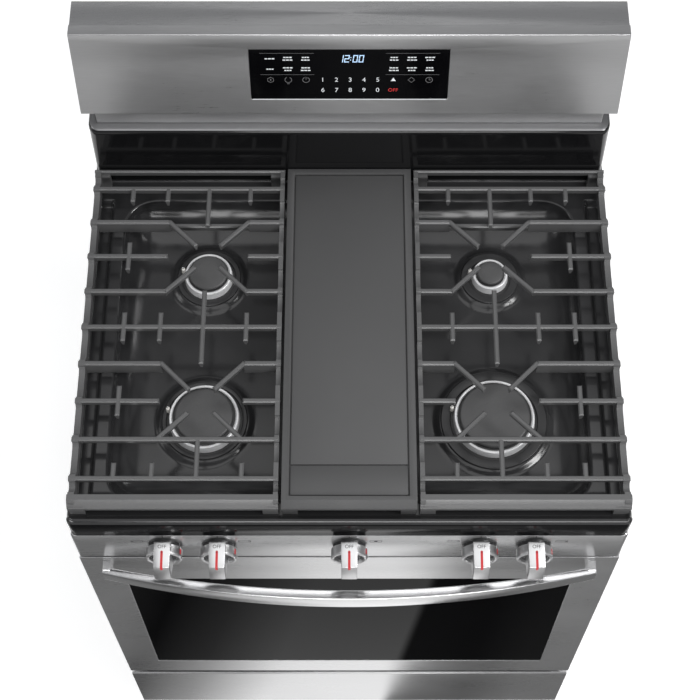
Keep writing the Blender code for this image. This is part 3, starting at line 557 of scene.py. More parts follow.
def wires(name, runs, radius, resolution, cyclic=False):
    """Round chromed wires of the oven racks along several runs of points, as one mesh."""
    curve = bpy.data.curves.new(name, "CURVE")
    curve.dimensions = "3D"
    curve.bevel_depth = radius
    curve.bevel_resolution = resolution
    curve.use_fill_caps = True
    for run in runs:
        spline = curve.splines.new("POLY")
        spline.points.add(len(run) - 1)
        for point, place_at in zip(spline.points, run):
            point.co = (*place_at, 1.0)
        spline.use_cyclic_u = cyclic
    return add(name, settled(guide(name + "_guide", curve), 50.0), "chrome_wire")


# ---- cooktop ----
def well_distance(x, y):
    """How far (x, y) is inside the well's outline, whose corners are a little squarer than circles."""
    power = 2.7
    dx = abs(x) - (WELL_HALF - WELL_CORNER)
    dy = abs(y - (WELL_FRONT + WELL_REAR) / 2) - ((WELL_REAR - WELL_FRONT) / 2 - WELL_CORNER)
    return WELL_CORNER - (max(dx, 0.0) ** power + max(dy, 0.0) ** power) ** (1 / power)


def ease(t):
    """A soft step from 0 to 1 as t goes from 0 to 1."""
    t = max(0.0, min(1.0, t))
    return t * t * (3 - 2 * t)


def arc_drop(radius, along):
    """How far a quarter round has dropped, along metres from where it starts level."""
    return radius - math.sqrt(max(0.0, radius ** 2 - along ** 2))


def wall_drop(t):
    """How far the well's wall has dropped t inside its edge: a tight round, then a wide sweep."""
    tight, angle = 0.004, math.radians(68)
    wide = WELL_DEPTH / (1 - math.cos(angle)) - tight
    if t <= 0.0:
        return 0.0
    if t < tight * math.sin(angle):
        return arc_drop(tight, t)
    left = (tight + wide) * math.sin(angle) - t
    return WELL_DEPTH if left <= 0.0 else WELL_DEPTH - arc_drop(wide, left)


def top_height(x, y):
    """The pressed steel top: outer lip, side gutters, ledge round the well, wall, floor, burner collars."""
    edge_x, edge_y = TOP_HIGH.x - abs(x), y - TOP_LOW.y
    inside = well_distance(x, y)
    z = TOP_FACE - wall_drop(inside)
    gutter_front, gutter_rear, gutter_depth = -0.258, 0.222, 0.0075
    if edge_x < 0.0325 and gutter_front < y < gutter_rear:
        across = ease((0.0325 - edge_x) / 0.006) * ease((edge_x - 0.006) / 0.006)
        z -= gutter_depth * across * ease((y - gutter_front) / 0.012) * ease((gutter_rear - y) / 0.012)
    collar_height, collar_slope = 0.0048, 0.012
    if inside > 0.012:
        for burner_x, burner_y, _, _, flange in BURNERS.values():
            r = math.hypot(x - burner_x, y - burner_y)
            z += collar_height * (1 - ease((r - flange + 0.0005) / collar_slope))
    front_bead, side_bead = 0.005, 0.0026
    if y < -0.26:
        z += front_bead * (1 - ease(abs(edge_y - 0.0062) / 0.0085))
    z += side_bead * (1 - ease(abs(edge_x - 0.004) / 0.0065)) * ease((0.235 - y) / 0.02)
    fillet = 0.003
    if y > RISER_LOW.y - fillet:
        z += arc_drop(fillet, min(y - RISER_LOW.y + fillet, fillet))
    for edge in (edge_x, edge_y):
        if edge < OUTER_ROUND:
            z -= arc_drop(OUTER_ROUND, OUTER_ROUND - edge)
    return z


def graded(low, high, zones):
    """Coordinates from low to high; each zone is (start, end, step), and 5 mm steps lie between them."""
    values = [low]
    while values[-1] < high - 1e-6:
        at = values[-1]
        steps = [step for start, end, step in zones if start <= at < end]
        starts = [start - at for start, _, _ in zones if start > at + 1e-6]
        values.append(min(at + min(steps + [0.005] + starts), high))
    return values


def round_corner(x, y):
    """Pulls the two front corners of the top in to a plan radius."""
    centre_x, centre_y = TOP_HIGH.x - CORNER_RADIUS, TOP_LOW.y + CORNER_RADIUS
    dx, dy = abs(x) - centre_x, centre_y - y
    if dx <= 0.0 or dy <= 0.0:
        return x, y
    shrink = max(dx, dy) / math.hypot(dx, dy)
    return math.copysign(centre_x + dx * shrink, x), centre_y - dy * shrink


def cooktop():
    """A grid lifted to top_height, finest where the surface bends, with a skirt turned down round it."""
    half = [(0.0, 0.115, 0.005), (0.115, 0.3, 0.0026), (0.3, 0.336, 0.0011), (0.336, 0.365, 0.0016),
            (0.365, TOP_HIGH.x, 0.0009)]
    mirrored = [(-end, -start, step) for start, end, step in half]
    xs = graded(TOP_LOW.x, TOP_HIGH.x, mirrored + half)
    ys = graded(TOP_LOW.y, TOP_HIGH.y, [
        (TOP_LOW.y, -0.278, 0.0009), (-0.278, -0.234, 0.0013), (-0.234, 0.192, 0.0026),
        (0.192, 0.226, 0.0011), (0.226, TOP_HIGH.y, 0.005), (0.25, 0.255, 0.0005),
        (TOP_HIGH.y - 0.006, TOP_HIGH.y, 0.001)])
    bm = bmesh.new()
    rows = [[bm.verts.new((*round_corner(x, y), top_height(x, y))) for x in xs] for y in ys]
    for first, second in zip(rows, rows[1:]):
        for i in range(len(xs) - 1):
            bm.faces.new((first[i], first[i + 1], second[i + 1], second[i]))
    middle = Vector((0.0, (TOP_LOW.y + TOP_HIGH.y) / 2, 0.0))
    rim = [e for e in bm.edges if e.is_boundary]
    for height, inset in ((TOP_LOW.z + 0.002, 0.0), (TOP_LOW.z, 0.0015), (TOP_LOW.z + 0.001, 0.008)):
        moved = bmesh.ops.extrude_edge_only(bm, edges=rim)["geom"]
        for point in (g for g in moved if isinstance(g, bmesh.types.BMVert)):
            inward = (middle - point.co) * Vector((1.0, 1.0, 0.0))
            point.co += inward.normalized() * inset
            point.co.z = height
        rim = [g for g in moved if isinstance(g, bmesh.types.BMEdge)]
    made = add("cooktop_pressing", mesh_from("cooktop_pressing", bm, 60.0), "enamel_black")
    # the skirt's faces get the darker, almost gloss-free enamel: painted shade on the apron and sides
    second_look(made, "enamel_skirt_shaded", lambda face: face.center.z < TOP_FACE - 0.0005 and (
        face.center.y < TOP_LOW.y + 0.006 or abs(face.center.x) > TOP_HIGH.x - 0.006))
    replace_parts(made, "cooktop")


# ---- burners ----
def burner(label):
    """A sealed burner: flange on the well's collar, a dark disc of painted shade in the groove, bright ring,
    a dark disc of painted shade in the gap, and enamelled cap.
    """
    x, y, cap, ring, flange = BURNERS[label]
    floor = TOP_FACE - WELL_DEPTH + 0.0044

    def turned(part, profile, look, radius):
        mesh = lathe_mesh(rounded(profile, radius))
        mesh.transform(Matrix.Translation((x, y, floor)))
        return add(f"{part}_{label}", mesh, look)

    turned("burner_flange", [(0.0, 0.0011), (ring + 0.0046, 0.0011), (ring + 0.0052, 0.003),
                             (flange - 0.0012, 0.0032), (flange, 0.0014), (flange, 0.0), (0.0, 0.0)],
           "flange_enamel", 0.0006)
    # a thin near-black disc just above the flange, inside its rise: painted shade in the groove round the
    # ring
    turned("burner_groove_shade", [(0.0, 0.0014), (ring + 0.0044, 0.0014), (ring + 0.0044, 0.0009), (0.0, 0.0009)],
           "knob_dark", 0.0002)
    body = turned("burner_ring", [(0.0, 0.0133), (ring - 0.004, 0.0133), (ring - 0.0032, 0.0147),
                                  (ring - 0.0014, 0.0147), (ring - 0.0004, 0.0139), (ring + 0.001, 0.0012),
                                  (0.0, 0.0012)], "burner_metal", 0.0006)
    gap = ring - 0.0047
    turned("burner_shadow_gap", [(0.0, 0.015), (gap, 0.015), (gap, 0.0128), (0.0, 0.0128)], "knob_dark",
           0.0003)
    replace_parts(body, f"burner_base_{label}")
    lid = turned("burner_lid", [(0.0, 0.0207), (cap * 0.6, 0.0206), (cap - 0.002, 0.0199), (cap, 0.0181),
                                (cap - 0.0005, 0.0153), (0.0, 0.0153)], "cap_enamel", 0.0012)
    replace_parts(lid, f"burner_cap_{label}")
    igniter(label, x, y, ring + 0.0042, floor)


def igniter(label, x, y, reach, floor):
    """The spark electrode in its white ceramic, at the left of the burner centred on (x, y)."""
    angle = math.radians(165)
    at = Matrix.Translation((x + reach * math.cos(angle), y + reach * math.sin(angle), floor))
    for part, profile, radius, steps, look in (
            ("ceramic", [(0.0, 0.0118), (0.0026, 0.0118), (0.0032, 0.002), (0.0, 0.002)], 0.0007, 20,
             "ceramic"),
            ("tip", [(0.0, 0.0168), (0.0009, 0.0166), (0.001, 0.0112), (0.0, 0.0112)], 0.0004, 16,
             "chrome_ring")):
        mesh = lathe_mesh(rounded(profile, radius), steps)
        mesh.transform(at)
        add(f"igniter_{part}_{label}", mesh, look)


def centre_burner():
    """The oval burner under the griddle."""
    at = Matrix.Translation((0.0, BAR_MIDDLE, TOP_FACE - WELL_DEPTH + 0.0004))
    for part, profile, radius, look, slot in (
            ("base", [(0.0, 0.019), (0.027, 0.019), (0.03, 0.0165), (0.0275, 0.0045), (0.038, 0.0035),
                      (0.04, 0.0), (0.0, 0.0)], 0.001, "aluminium_cast", "aluminium"),
            ("cap", [(0.0, 0.0262), (0.0205, 0.0255), (0.024, 0.0235), (0.0238, 0.0196), (0.0, 0.0196)],
             0.0012, "cap_enamel", "cast_iron")):
        mesh = lathe_mesh(rounded(profile, radius), stretch_y=3.2)
        mesh.transform(at)
        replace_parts(add(f"oval_burner_{part}", mesh, look), f"burner_{part}_centre")


# ---- grates and griddle ----
def bar_y(n):
    """The middle of the grate's cross bar n, from -4 at the front to 4 at the rear."""
    return BAR_MIDDLE + BAR_PITCH * n


def rail_outline(low_y, high_y, raised, top, dip, bottom):
    """A side rail seen from the side: its top edge sinks between the raised spans in round scoops."""
    radius = 0.007
    angles = [math.radians(22.5 * i) for i in range(5)]
    scoop = [(radius * (1 - math.cos(a)), top - dip * math.sin(a)) for a in angles]
    points = []
    spans = sorted(raised)
    for (_, left), (right, _) in zip(spans, spans[1:]):
        points += [(left + along, z) for along, z in scoop]
        points += [(right - along, z) for along, z in reversed(scoop)]
    return [(low_y, bottom), (low_y, top), *points, (high_y, top), (high_y, bottom)]


def grate(side, label):
    """A cast grate: cross bars, fingers, slanted bars round two burners, side rails, feet and a nose."""
    inner, outer = GRATE_LOW.x, GRATE_HIGH.x
    top, feet, nose = GRATE_HIGH.z, GRATE_LOW.z, GRATE_LOW.y
    deep, tab, reach, tip = 0.0125, 0.0225, BAR_PITCH, 0.0185
    pieces = []

    def block(make, near_x, far_x, low_y, high_y, low_z, high_z):
        low_x, high_x = sorted((side * near_x, side * far_x))
        pieces.append(make((low_x, low_y, low_z), (high_x, high_y, high_z)))

    def bar(near_x, far_x, y, z=top, width=BAR_WIDTH):
        block(beam_mesh, near_x, far_x, y - width / 2, y + width / 2, z - deep, z)

    def finger(x, low_y, high_y):
        block(beam_mesh, x - BAR_WIDTH / 2, x + BAR_WIDTH / 2, low_y, high_y, top - deep, top)

    for n in (-4, -3, 0, 4):
        bar(inner, outer, bar_y(n))
    bar(inner, outer, GRATE_HIGH.y - 0.001, width=0.0054)
    open_ends = ((inner, BURNER_X - reach), (BURNER_X + reach, outer))
    for n in (-2, -1, 1, 2, 3):
        for near_x, far_x in open_ends:
            bar(near_x, far_x, bar_y(n))
    for n in (-1, 3):
        web = bar_y(n) - BAR_WIDTH / 2
        for near_x, far_x in open_ends:
            block(box_mesh, near_x, far_x, web - 0.0004, web + 0.003, top - 0.0235, top - 0.002)
    bar(BURNER_X - reach, BURNER_X + reach, bar_y(3), top - 0.011)
    offset = (reach + tip) / 2
    half = Vector(((reach - tip) / math.sqrt(2) + 0.0018, BAR_WIDTH / 2 - 0.0002, deep / 2))
    for centre in (bar_y(-2), bar_y(2)):
        for sx in (-1, 1):
            for sy in (-1, 1):
                middle = Vector((side * BURNER_X + sx * offset, centre + sy * offset, top - deep / 2))
                pieces.append(beam_mesh(middle - half, middle + half, math.radians(45) * sx * sy))
    for x in (0.316, 0.265, 0.1445):
        finger(x, bar_y(0) - tab, bar_y(0) + tab)
        finger(x, bar_y(-4), bar_y(-4) + tab)
        finger(x, bar_y(4) - tab, bar_y(4))
    for n in (-2, 2):
        finger(0.316, bar_y(n) - tab, bar_y(n) + tab)
    for low_y, high_y in ((bar_y(0) - 0.058, bar_y(0) + 0.058), (bar_y(-4), bar_y(-3)),
                          (bar_y(3) - 0.006, bar_y(4))):
        finger(0.205, low_y, high_y)

    front, rear = nose + 0.004, GRATE_HIGH.y - 0.0012
    edge = BAR_WIDTH / 2 + 0.0012
    ends = [(front, front + 0.016), (rear - 0.01, rear)]
    tabs = {-4: (-edge, tab), -2: (-tab, tab), 0: (-tab, tab), 2: (-tab, tab), 4: (-tab, edge)}
    outer_spans, inner_spans = list(ends), list(ends)
    for n in range(-4, 5):
        low_tab, high_tab = tabs.get(n, (-edge, edge))
        outer_spans.append((bar_y(n) - edge, bar_y(n) + edge))
        inner_spans.append((bar_y(n) + low_tab, bar_y(n) + high_tab))
    for spans, near_x, far_x in ((outer_spans, outer - 0.0098, outer - 0.0012),
                                 (inner_spans, inner + 0.0003, inner + 0.0068)):
        outline = rail_outline(front, rear, spans, top - 0.0004, 0.0072, top - 0.024)
        pieces.append(prism_mesh(outline, *sorted((side * near_x, side * far_x))))
    for x in (inner + 0.0108, outer - 0.0118):
        for low_y, high_y in ((nose + 0.0012, nose + 0.015), (rear - 0.0065, rear)):
            block(box_mesh, x - 0.0104, x + 0.0104, low_y, high_y, feet, top - 0.008)
    slope = [(nose + 0.0165, top), (nose + 0.0088, top), (nose + 0.0073, top - 0.0014), (nose, top - 0.0105),
             (nose, top - 0.016), (nose + 0.0015, top - 0.0172), (nose + 0.0165, top - 0.0172)]
    pieces.append(prism_mesh(slope, *sorted((side * inner, side * outer))))
    tools = [guide("casting", mesh) for mesh in pieces]
    mesh = applied(tools[0], "UNION", tools[1:])
    shade(mesh, 20.0)
    body = f"grate_{label}"
    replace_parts(add(f"grate_casting_{label}", mesh, "iron_cast", body), body)


def griddle():
    """The cast plate: a shallow dish with a narrow moat round it, a groove across it, and four feet."""
    low, high = GRIDDLE_LOW, GRIDDLE_HIGH
    top, nose, rim, under, chin = high.z, low.y, 0.01, high.z - 0.0125, high.z - 0.0165
    outline = [(high.y, under), (high.y, top), (nose + 0.0088, top), (nose + 0.0073, top - 0.0014),
               (nose, top - 0.0105), (nose, chin), (nose + 0.014, chin), (nose + 0.014, under)]
    slab = guide("slab", prism_mesh(outline, low.x, high.x))
    feet = []
    for side in (-1, 1):
        foot_left, foot_right = sorted((side * 0.069, side * 0.089))
        for foot_front, foot_rear in ((nose + 0.001, nose + 0.013), (high.y - 0.0115, high.y - 0.0005)):
            feet.append(guide("foot", box_mesh((foot_left, foot_front, low.z),
                                               (foot_right, foot_rear, top - 0.0105))))
    solid = guide("solid", applied(slab, "UNION", feet))
    left, right, near, far = low.x + rim, high.x - rim, nose + 0.0145, high.y - 0.0085
    clear, dish_depth, moat_depth, moat, groove = top + 0.01, 0.0022, 0.0056, 0.002, -0.2185
    cuts = [guide("dish", box_mesh((left, near, top - dish_depth), (right, far, clear)))]
    for low_x, high_x, low_y, high_y in ((left, left + moat, near, far), (right - moat, right, near, far),
                                         (left, right, near, near + moat), (left, right, far - moat, far),
                                         (left, right, groove - 0.0008, groove + 0.0008)):
        cuts.append(guide("moat", box_mesh((low_x, low_y, top - moat_depth), (high_x, high_y, clear))))
    mesh = applied(solid, "DIFFERENCE", cuts)
    made = bevelled_piece("griddle_plate", mesh, "iron_griddle", 0.0004, body="griddle")
    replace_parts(made, "griddle")


# ---- back guard and display ----
def riser():
    """The black upstand, its ends rolled back in a radius that grows towards the top."""
    low, high = RISER_LOW, RISER_HIGH
    rings = []
    steps = 24
    for step in range(steps + 1):
        t = step / steps
        z = low.z + (high.z - 0.0035 - low.z) * t
        ring = rolled_outline(high.x, low.y + 0.001 * t, high.y, 0.003 + 0.011 * t, 8, 1.3)
        rings.append([(x, y, z) for x, y in ring])
    for narrower, set_back, z in ((0.995, 0.0022, high.z - 0.0008), (0.988, 0.005, high.z)):
        rings.append([(x * narrower, y + set_back if y < 0.3 else y, z) for x, y, _ in rings[steps]])
    made = add("riser_pressing", loft_mesh(rings, 50.0), "enamel_gloss")
    second_look(made, "steel_ledge", lambda face: face.center.z > high.z - 0.0006 and face.normal.z > 0.9)
    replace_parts(made, "rear_riser")


def face_matrix(along, out):
    """A frame in the back guard's leaning face, a distance along its slope and out of it."""
    return leaning(FACE_BASE, FACE_TOP - FACE_BASE) @ Matrix.Translation((0.0, along, out))


def backguard():
    """The stainless front of the back guard: leaning face, top return and the narrower neck below.

    A strip under the crest bulges by a hair, so that smooth shading gives it the sheet's soft bend; the large
    faces are shaded flat.
    """
    base, crest, seam = FACE_BASE, FACE_TOP, SHELL_HIGH.y
    rise = (crest - base).normalized()
    brow = crest - rise * 0.009 + Vector((0.0, -rise.z, rise.y)) * 0.0003
    outline = [(base.y + 0.004, base.z - 0.004), (base.y, base.z), (brow.y, brow.z), (crest.y, crest.z),
               (seam, crest.z), (seam, base.z - 0.004)]
    shell = guide("shell", prism_mesh(outline, SHELL_LOW.x, SHELL_HIGH.x))
    neck = guide("neck", prism_mesh([(base.y + 0.002, SHELL_LOW.z), (base.y + 0.0022, base.z + 0.002),
                                     (seam, base.z + 0.002), (seam, SHELL_LOW.z)], -NECK_HALF, NECK_HALF))
    inside = [(0.29, 1.05), (0.28, 1.09), (0.304, crest.z - 0.004), (0.34, crest.z - 0.004), (0.34, 1.05)]
    hollow = guide("hollow", prism_mesh(inside, SHELL_LOW.x + 0.01, SHELL_HIGH.x - 0.01))
    solid = guide("solid", applied(shell, "UNION", [neck]))
    half, tall, deep = (GLASS_HIGH.x - GLASS_LOW.x) / 2 + 0.0003, 0.044, 0.02
    cutter = box_mesh((-half, -tall, -deep), (half, tall, deep))
    cutter.transform(face_matrix(0.07175, 0.0))
    mesh = applied(solid, "DIFFERENCE", [hollow, guide("window", cutter)])
    made = bevelled_piece("backguard_front", mesh, "steel_back", 0.0018, 3)
    second_look(made, "steel_neck", lambda face: face.center.z < base.z - 0.0042 and face.normal.y < -0.5)
    for face in made.data.polygons:
        face.use_smooth = face.area < 0.01
    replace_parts(made, "backguard_shell")


def display():
    """Digits and plain signs on the glass, and a glowing strip along its lower edge that paints the edge's
    highlight; the mode keys carry short bars in place of words.
    """
    face = face_matrix(0.07435, 0.0009) @ Matrix.Translation((0.0008, 0.0, 0.0))
    key_rows = (-0.0112, -0.0112 - 0.0142 * 1.3)
    digits = []
    for row, characters in zip(key_rows, ("12345", "67890")):
        for i, digit in enumerate(characters):
            digits.append(text_mesh(digit, 0.0104, (-0.0375 + 0.019 * i, row), face))
    for part, meshes, look in (
            ("digits", digits, "lit_white"),
            ("mode_marks", mode_marks(face), "lit_white"),
            ("signs", key_signs(face, key_rows[0]), "mark_grey"),
            # a glowing white strip along the window's lower edge: a painted highlight
            ("edge_highlight", [flat_mesh((-0.136, -0.0472), (0.1344, -0.0457), face)], "lit_white"),
            ("clock", clock(face @ Matrix.Translation((0.0, 0.0262, 0.0))), "lit_clock"),
            ("start_key", [ring_mesh((0.06, key_rows[0]), 0.004, 0.004, 3, face)], "lit_white"),
            ("off_key", [text_mesh("OFF", 0.008, (0.06, key_rows[1]), face)], "lit_red")):
        merged(f"display_{part}", meshes, look)


def mode_marks(face):
    """Broken bars in place of the mode keys' words: three columns of two keys on each side of the digits."""
    bars = []
    for side in (-1, 1):
        for column in range(3):
            for line, y in enumerate((0.0262, 0.008)):
                x = side * (0.06 + 0.0245 * column) + (0.0005 if side > 0 else -0.0005)
                rows = 1 if side < 0 and column == 2 else 2
                for k in range(rows):
                    wide = 0.005 + 0.0009 * ((column + line + k) % 3)
                    middle = y + (0.0 if rows == 1 else 0.0023 - 0.0046 * k)
                    for bit in range(3):
                        left = x - wide + bit * wide * 0.7
                        right = left + wide * 0.56
                        bars.append(flat_mesh((left, middle - 0.0009), (right, middle + 0.0009), face))
    return bars


def key_signs(face, y):
    """The row of grey signs in rings beside the digits, and the thin lines above and below the mode keys."""
    signs = [ring_mesh((x, y), 0.005, 0.0007, sides, face, gap) for x, sides, gap in
             ((-0.1095, 6, 0.0), (-0.085, 24, 0.9), (-0.0605, 24, 0.9), (0.085, 4, 0.0), (0.1095, 24, 0.0))]
    for low_x, low_y, high_x, high_y in ((-0.1103, -0.0012, -0.1087, 0.0012), (-0.0608, 0.0, -0.0602, 0.0052),
                                         (-0.0868, -0.0072, -0.0832, -0.0064), (0.1092, 0.0, 0.1098, 0.0034),
                                         (0.1092, -0.0003, 0.112, 0.0003)):
        signs.append(flat_mesh((low_x, y + low_y), (high_x, y + high_y), face))
    for side in (-1, 1):
        for line in (0.0355, -0.002):
            signs.append(flat_mesh((side * 0.086 - 0.037, line), (side * 0.086 + 0.037, line + 0.0003), face))
    return signs


def clock(face):
    """12:00 in slanted seven-segment digits."""
    lit = {"1": "bc", "2": "abged", "0": "abcdef"}
    x, y, line, gap = 0.0033, 0.00625, 0.0013, 0.0004
    segments = {"a": ((-x, y - line), (x, y)), "b": ((x - line, gap), (x, y)),
                "c": ((x - line, -y), (x, -gap)), "d": ((-x, -y), (x, -y + line)),
                "e": ((-x, -y), (-x + line, -gap)), "f": ((-x, gap), (-x + line, y)),
                "g": ((-x, -line / 2), (x, line / 2))}
    slant = Matrix(((1, 0.12, 0, 0), (0, 1, 0, 0), (0, 0, 1, 0), (0, 0, 0, 1)))
    made = []
    for digit, at in zip("1200", (-0.012, -0.004, 0.0075, 0.0157)):
        for segment in lit[digit]:
            made.append(flat_mesh(*segments[segment], face @ Matrix.Translation((at, 0.0, 0.0)) @ slant))
    for dot in (-0.0022, 0.0022):
        made.append(flat_mesh((-0.0006, dot - 0.0007), (0.0006, dot + 0.0007),
                              face @ Matrix.Translation((0.0012, 0.0, 0.0)) @ slant))
    return made


# ---- control panel and knobs ----
def control_panel():
    """The panel that carries the knobs: a flat face whose two ends roll back in a quarter round."""
    low, high = Vector((PANEL_LOW.x, DOOR_LOW.y, PANEL_LOW.z)), PANEL_HIGH
    roll = 0.005
    ring = rolled_outline(high.x, low.y, high.y - 0.004, roll, 6)
    levels = ((low.z + 0.0001, 0.0012), (low.z + 0.0005, 0.0004), (low.z + 0.0014, 0.0),
              (high.z - 0.0014, 0.0), (high.z - 0.0005, 0.0004), (high.z - 0.0001, 0.0012))
    rings = [[(x, y + (inset + PANEL_LEAN * (z - low.z) if y < low.y + roll else 0.0), z) for x, y in ring]
             for z, inset in levels]
    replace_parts(add("control_panel_face", loft_mesh(rings), "steel_face"), "manifold_panel")
    ticks, signs = [], []
    for i, (knob_low, knob_high) in KNOB_BOXES.items():
        x = (knob_low.x + knob_high.x) / 2
        # a black disc behind each knob's skirt: painted shade in the gap between knob and panel
        shade_disc = lathe_mesh(rounded([(0.0, 0.0028), (0.0212, 0.0028), (0.0222, 0.0018), (0.0224, -0.0032),
                                    (0.0, -0.0032)], 0.0006))
        shade_disc.transform(Matrix.Translation((x, low.y, KNOB_Z)) @ FORWARD)
        add(f"knob_bezel_{i}", shade_disc, "knob_dark")
        at = Vector((x, low.y + PANEL_LEAN * (KNOB_Z - low.z), KNOB_Z))
        face = leaning(at, Vector((0.0, PANEL_LEAN, 1.0)))
        ticks.append(flat_mesh((-0.0006, 0.029), (0.0006, 0.034), face))
        signs += burner_sign(face, *BURNER_SIGNS[i])
    merged("panel_ticks", ticks, "mark_dark")
    merged("panel_burner_signs", signs, "mark_dark")


def burner_sign(face, side, across, up):
    """A thin frame beside a knob, standing for the cooktop, and in it the place of the knob's burner."""
    centre = Vector((side * 0.0365, 0.0158))
    half, line = Vector((0.0085, 0.0028)), 0.0007
    low, high = centre - half, centre + half
    dot = centre + Vector((across * 0.0062, up * 0.0014))
    dot_half = Vector((0.0014, 0.001) if across else (0.0022, 0.0014))
    return [flat_mesh(low, (high.x, low.y + line), face), flat_mesh((low.x, high.y - line), high, face),
            flat_mesh(low, (low.x + line, high.y), face), flat_mesh((high.x - line, low.y), high, face),
            flat_mesh(dot - dot_half, dot + dot_half, face)]


def knob(i):
    """A hollow satin skirt with a raised rim, a dark recess, and a slanted lever with its red line."""
    (low, high), body = KNOB_BOXES[i], f"knob_{i}"
    x, back, tip, radius = (low.x + high.x) / 2, high.y, low.y, (high.x - low.x) / 2
    upright = Matrix.Translation((x, back, KNOB_Z)) @ FORWARD
    skirt = lathe_mesh(rounded([(0.0, 0.01), (radius - 0.0058, 0.01), (radius - 0.005, 0.0138),
                                (radius - 0.003, 0.015), (radius - 0.0012, 0.015), (radius, 0.0132),
                                (radius, 0.0008), (radius - 0.0006, 0.0), (radius - 0.0016, 0.0),
                                (radius - 0.002, 0.001), (radius - 0.002, 0.006), (0.0, 0.006)], 0.0008), 96)
    skirt.transform(upright)
    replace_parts(add(f"knob_skirt_{i}", skirt, "knob_satin", body), f"knob_{i}")
    dish = lathe_mesh(rounded([(0.0, 0.0106), (radius - 0.0064, 0.0106), (radius - 0.006, 0.0102),
                               (0.0, 0.0102)], 0.0002), 64)
    dish.transform(upright)
    add(f"knob_recess_{i}", dish, "knob_dark", body)
    crest, brow = Vector((0.0, back - 0.0003, KNOB_Z + 0.0318)), Vector((0.0, tip + 0.0067, KNOB_Z + 0.0257))
    outline = [(back - 0.0006, crest.z - 0.0012), (back - 0.0016, crest.z - 0.0002), (brow.y, brow.z),
               (tip, KNOB_Z - 0.004), (tip + 0.0055, KNOB_Z - 0.0075), (back - 0.0128, KNOB_Z - 0.019),
               (back - 0.0104, KNOB_Z - 0.019), (back - 0.009, KNOB_Z + 0.02),
               (back - 0.0006, KNOB_Z + 0.025)]
    half_lever = 0.0114
    lever = prism_mesh(outline, -half_lever, half_lever)
    for point in lever.vertices:
        forward = (point.co.y - back) / (tip - back)
        point.co.x = x + point.co.x * (1.0 - 0.07 * forward)
    bevelled_piece(f"knob_lever_{i}", lever, "knob_satin", 0.0007, body=body)
    corner = Vector((x, brow.y, brow.z))
    top_face, front_face = leaning(corner, crest - brow), leaning(corner, Vector((0.0, 0.0067, 0.0297)))
    half_line, line_end, thick = 0.0017, 0.0215, 0.0002
    stripe = flat_mesh((-half_line, -thick), (half_line, line_end), top_face, thick)
    end = lathe_mesh([(0.0, thick), (half_line, thick), (half_line, -thick), (0.0, -thick)], 24)
    end.transform(top_face @ Matrix.Translation((0.0, line_end, 0.0)))
    nose = flat_mesh((-half_line, -0.006), (half_line, thick), front_face, thick)
    merged(f"knob_stripe_{i}", [stripe, end, nose], "mark_red", body)
    word = text_mesh("OFF", 0.0068, (0.0, 0.0285), top_face @ Matrix.Translation((0.0, 0.0, 0.00016)))
    merged(f"knob_off_mark_{i}", [word], "mark_dark", body)
    tab = box_mesh((-0.00025, -0.0014, 0.003), (0.00025, 0.0014, 0.0105))
    turn = Matrix.Rotation(math.radians(22), 4, "Z")
    tab.transform(upright @ turn @ Matrix.Translation((radius, 0.0, 0.0)))
    merged(f"knob_side_mark_{i}", [tab], "mark_red", body)


# ---- door handle and oven racks ----
def handle():
    """The bowed handle: deeper and taller in the middle, its face leaning, with a post at each end."""
    half, face, top = HANDLE_HIGH.x, DOOR_LOW.y, HANDLE_HIGH.z
    reach, depth = (0.022, face - HANDLE_LOW.y), (0.0128, 0.018)
    tall, lean = (0.0295, 0.0315), (0.0004, 0.0023)
    rings = []
    stations = 72
    for i in range(stations + 1):
        u = -1 + 2 * i / stations
        bow = 1.0 - u * u
        out, deep, high, set_back = (end + (middle - end) * bow for end, middle in (reach, depth, tall, lean))
        front, rear = face - out, face - out + deep
        outline = [(front + set_back, top), (rear - 0.001, top - 0.004), (rear, top - high * 0.3),
                   (rear - 0.001, top - high * 0.8), (front + 0.006, top - high), (front, top - high + 0.003)]
        rings.append([(u * half, y, z) for y, z in rounded_loop(outline, 0.002)])
    bar = guide("bar", loft_mesh(rings))
    posts = []
    for side in (-1, 1):
        left, right = sorted((side * (half - 0.0105), side * (half - 0.0001)))
        posts.append(guide("post", box_mesh((left, face - reach[0] + 0.006, top - tall[0] + 0.0012),
                                            (right, face - 0.0003, top - 0.0006))))
    mesh = applied(bar, "UNION", posts, dissolve=False)
    shade(mesh, 30.0)
    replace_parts(add("handle_bar", mesh, "steel_handle", "door"), "door_handle")


def rack(label):
    """An oven rack: a thick rim wire with round corners, thin wires on it and one brace under them."""
    low, high = (Vector(v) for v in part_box(f"oven_rack_{label}"))
    rim, wire, corner, count, z = 0.0031, 0.0019, 0.012, 24, (low.z + high.z) / 2
    left, right, near, far = low.x + rim, high.x - rim, low.y + rim, high.y - rim
    loop = []
    for x, y, start in ((right - corner, near + corner, 270), (right - corner, far - corner, 0),
                        (left + corner, far - corner, 90), (left + corner, near + corner, 180)):
        for k in range(5):
            a = math.radians(start + 22.5 * k)
            loop.append((x + corner * math.cos(a), y + corner * math.sin(a), z))
    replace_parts(wires(f"rack_rim_{label}", [loop], rim, 3, cyclic=True), f"oven_rack_{label}")
    runs = []
    for i in range(1, count):
        x = left + (right - left) * i / count
        runs.append([(x, near, z + 0.0012), (x, far, z + 0.0012)])
    runs.append([(left, -0.037, z - 0.0024), (right, -0.037, z - 0.0024)])
    wires(f"rack_wires_{label}", runs, wire, 2)


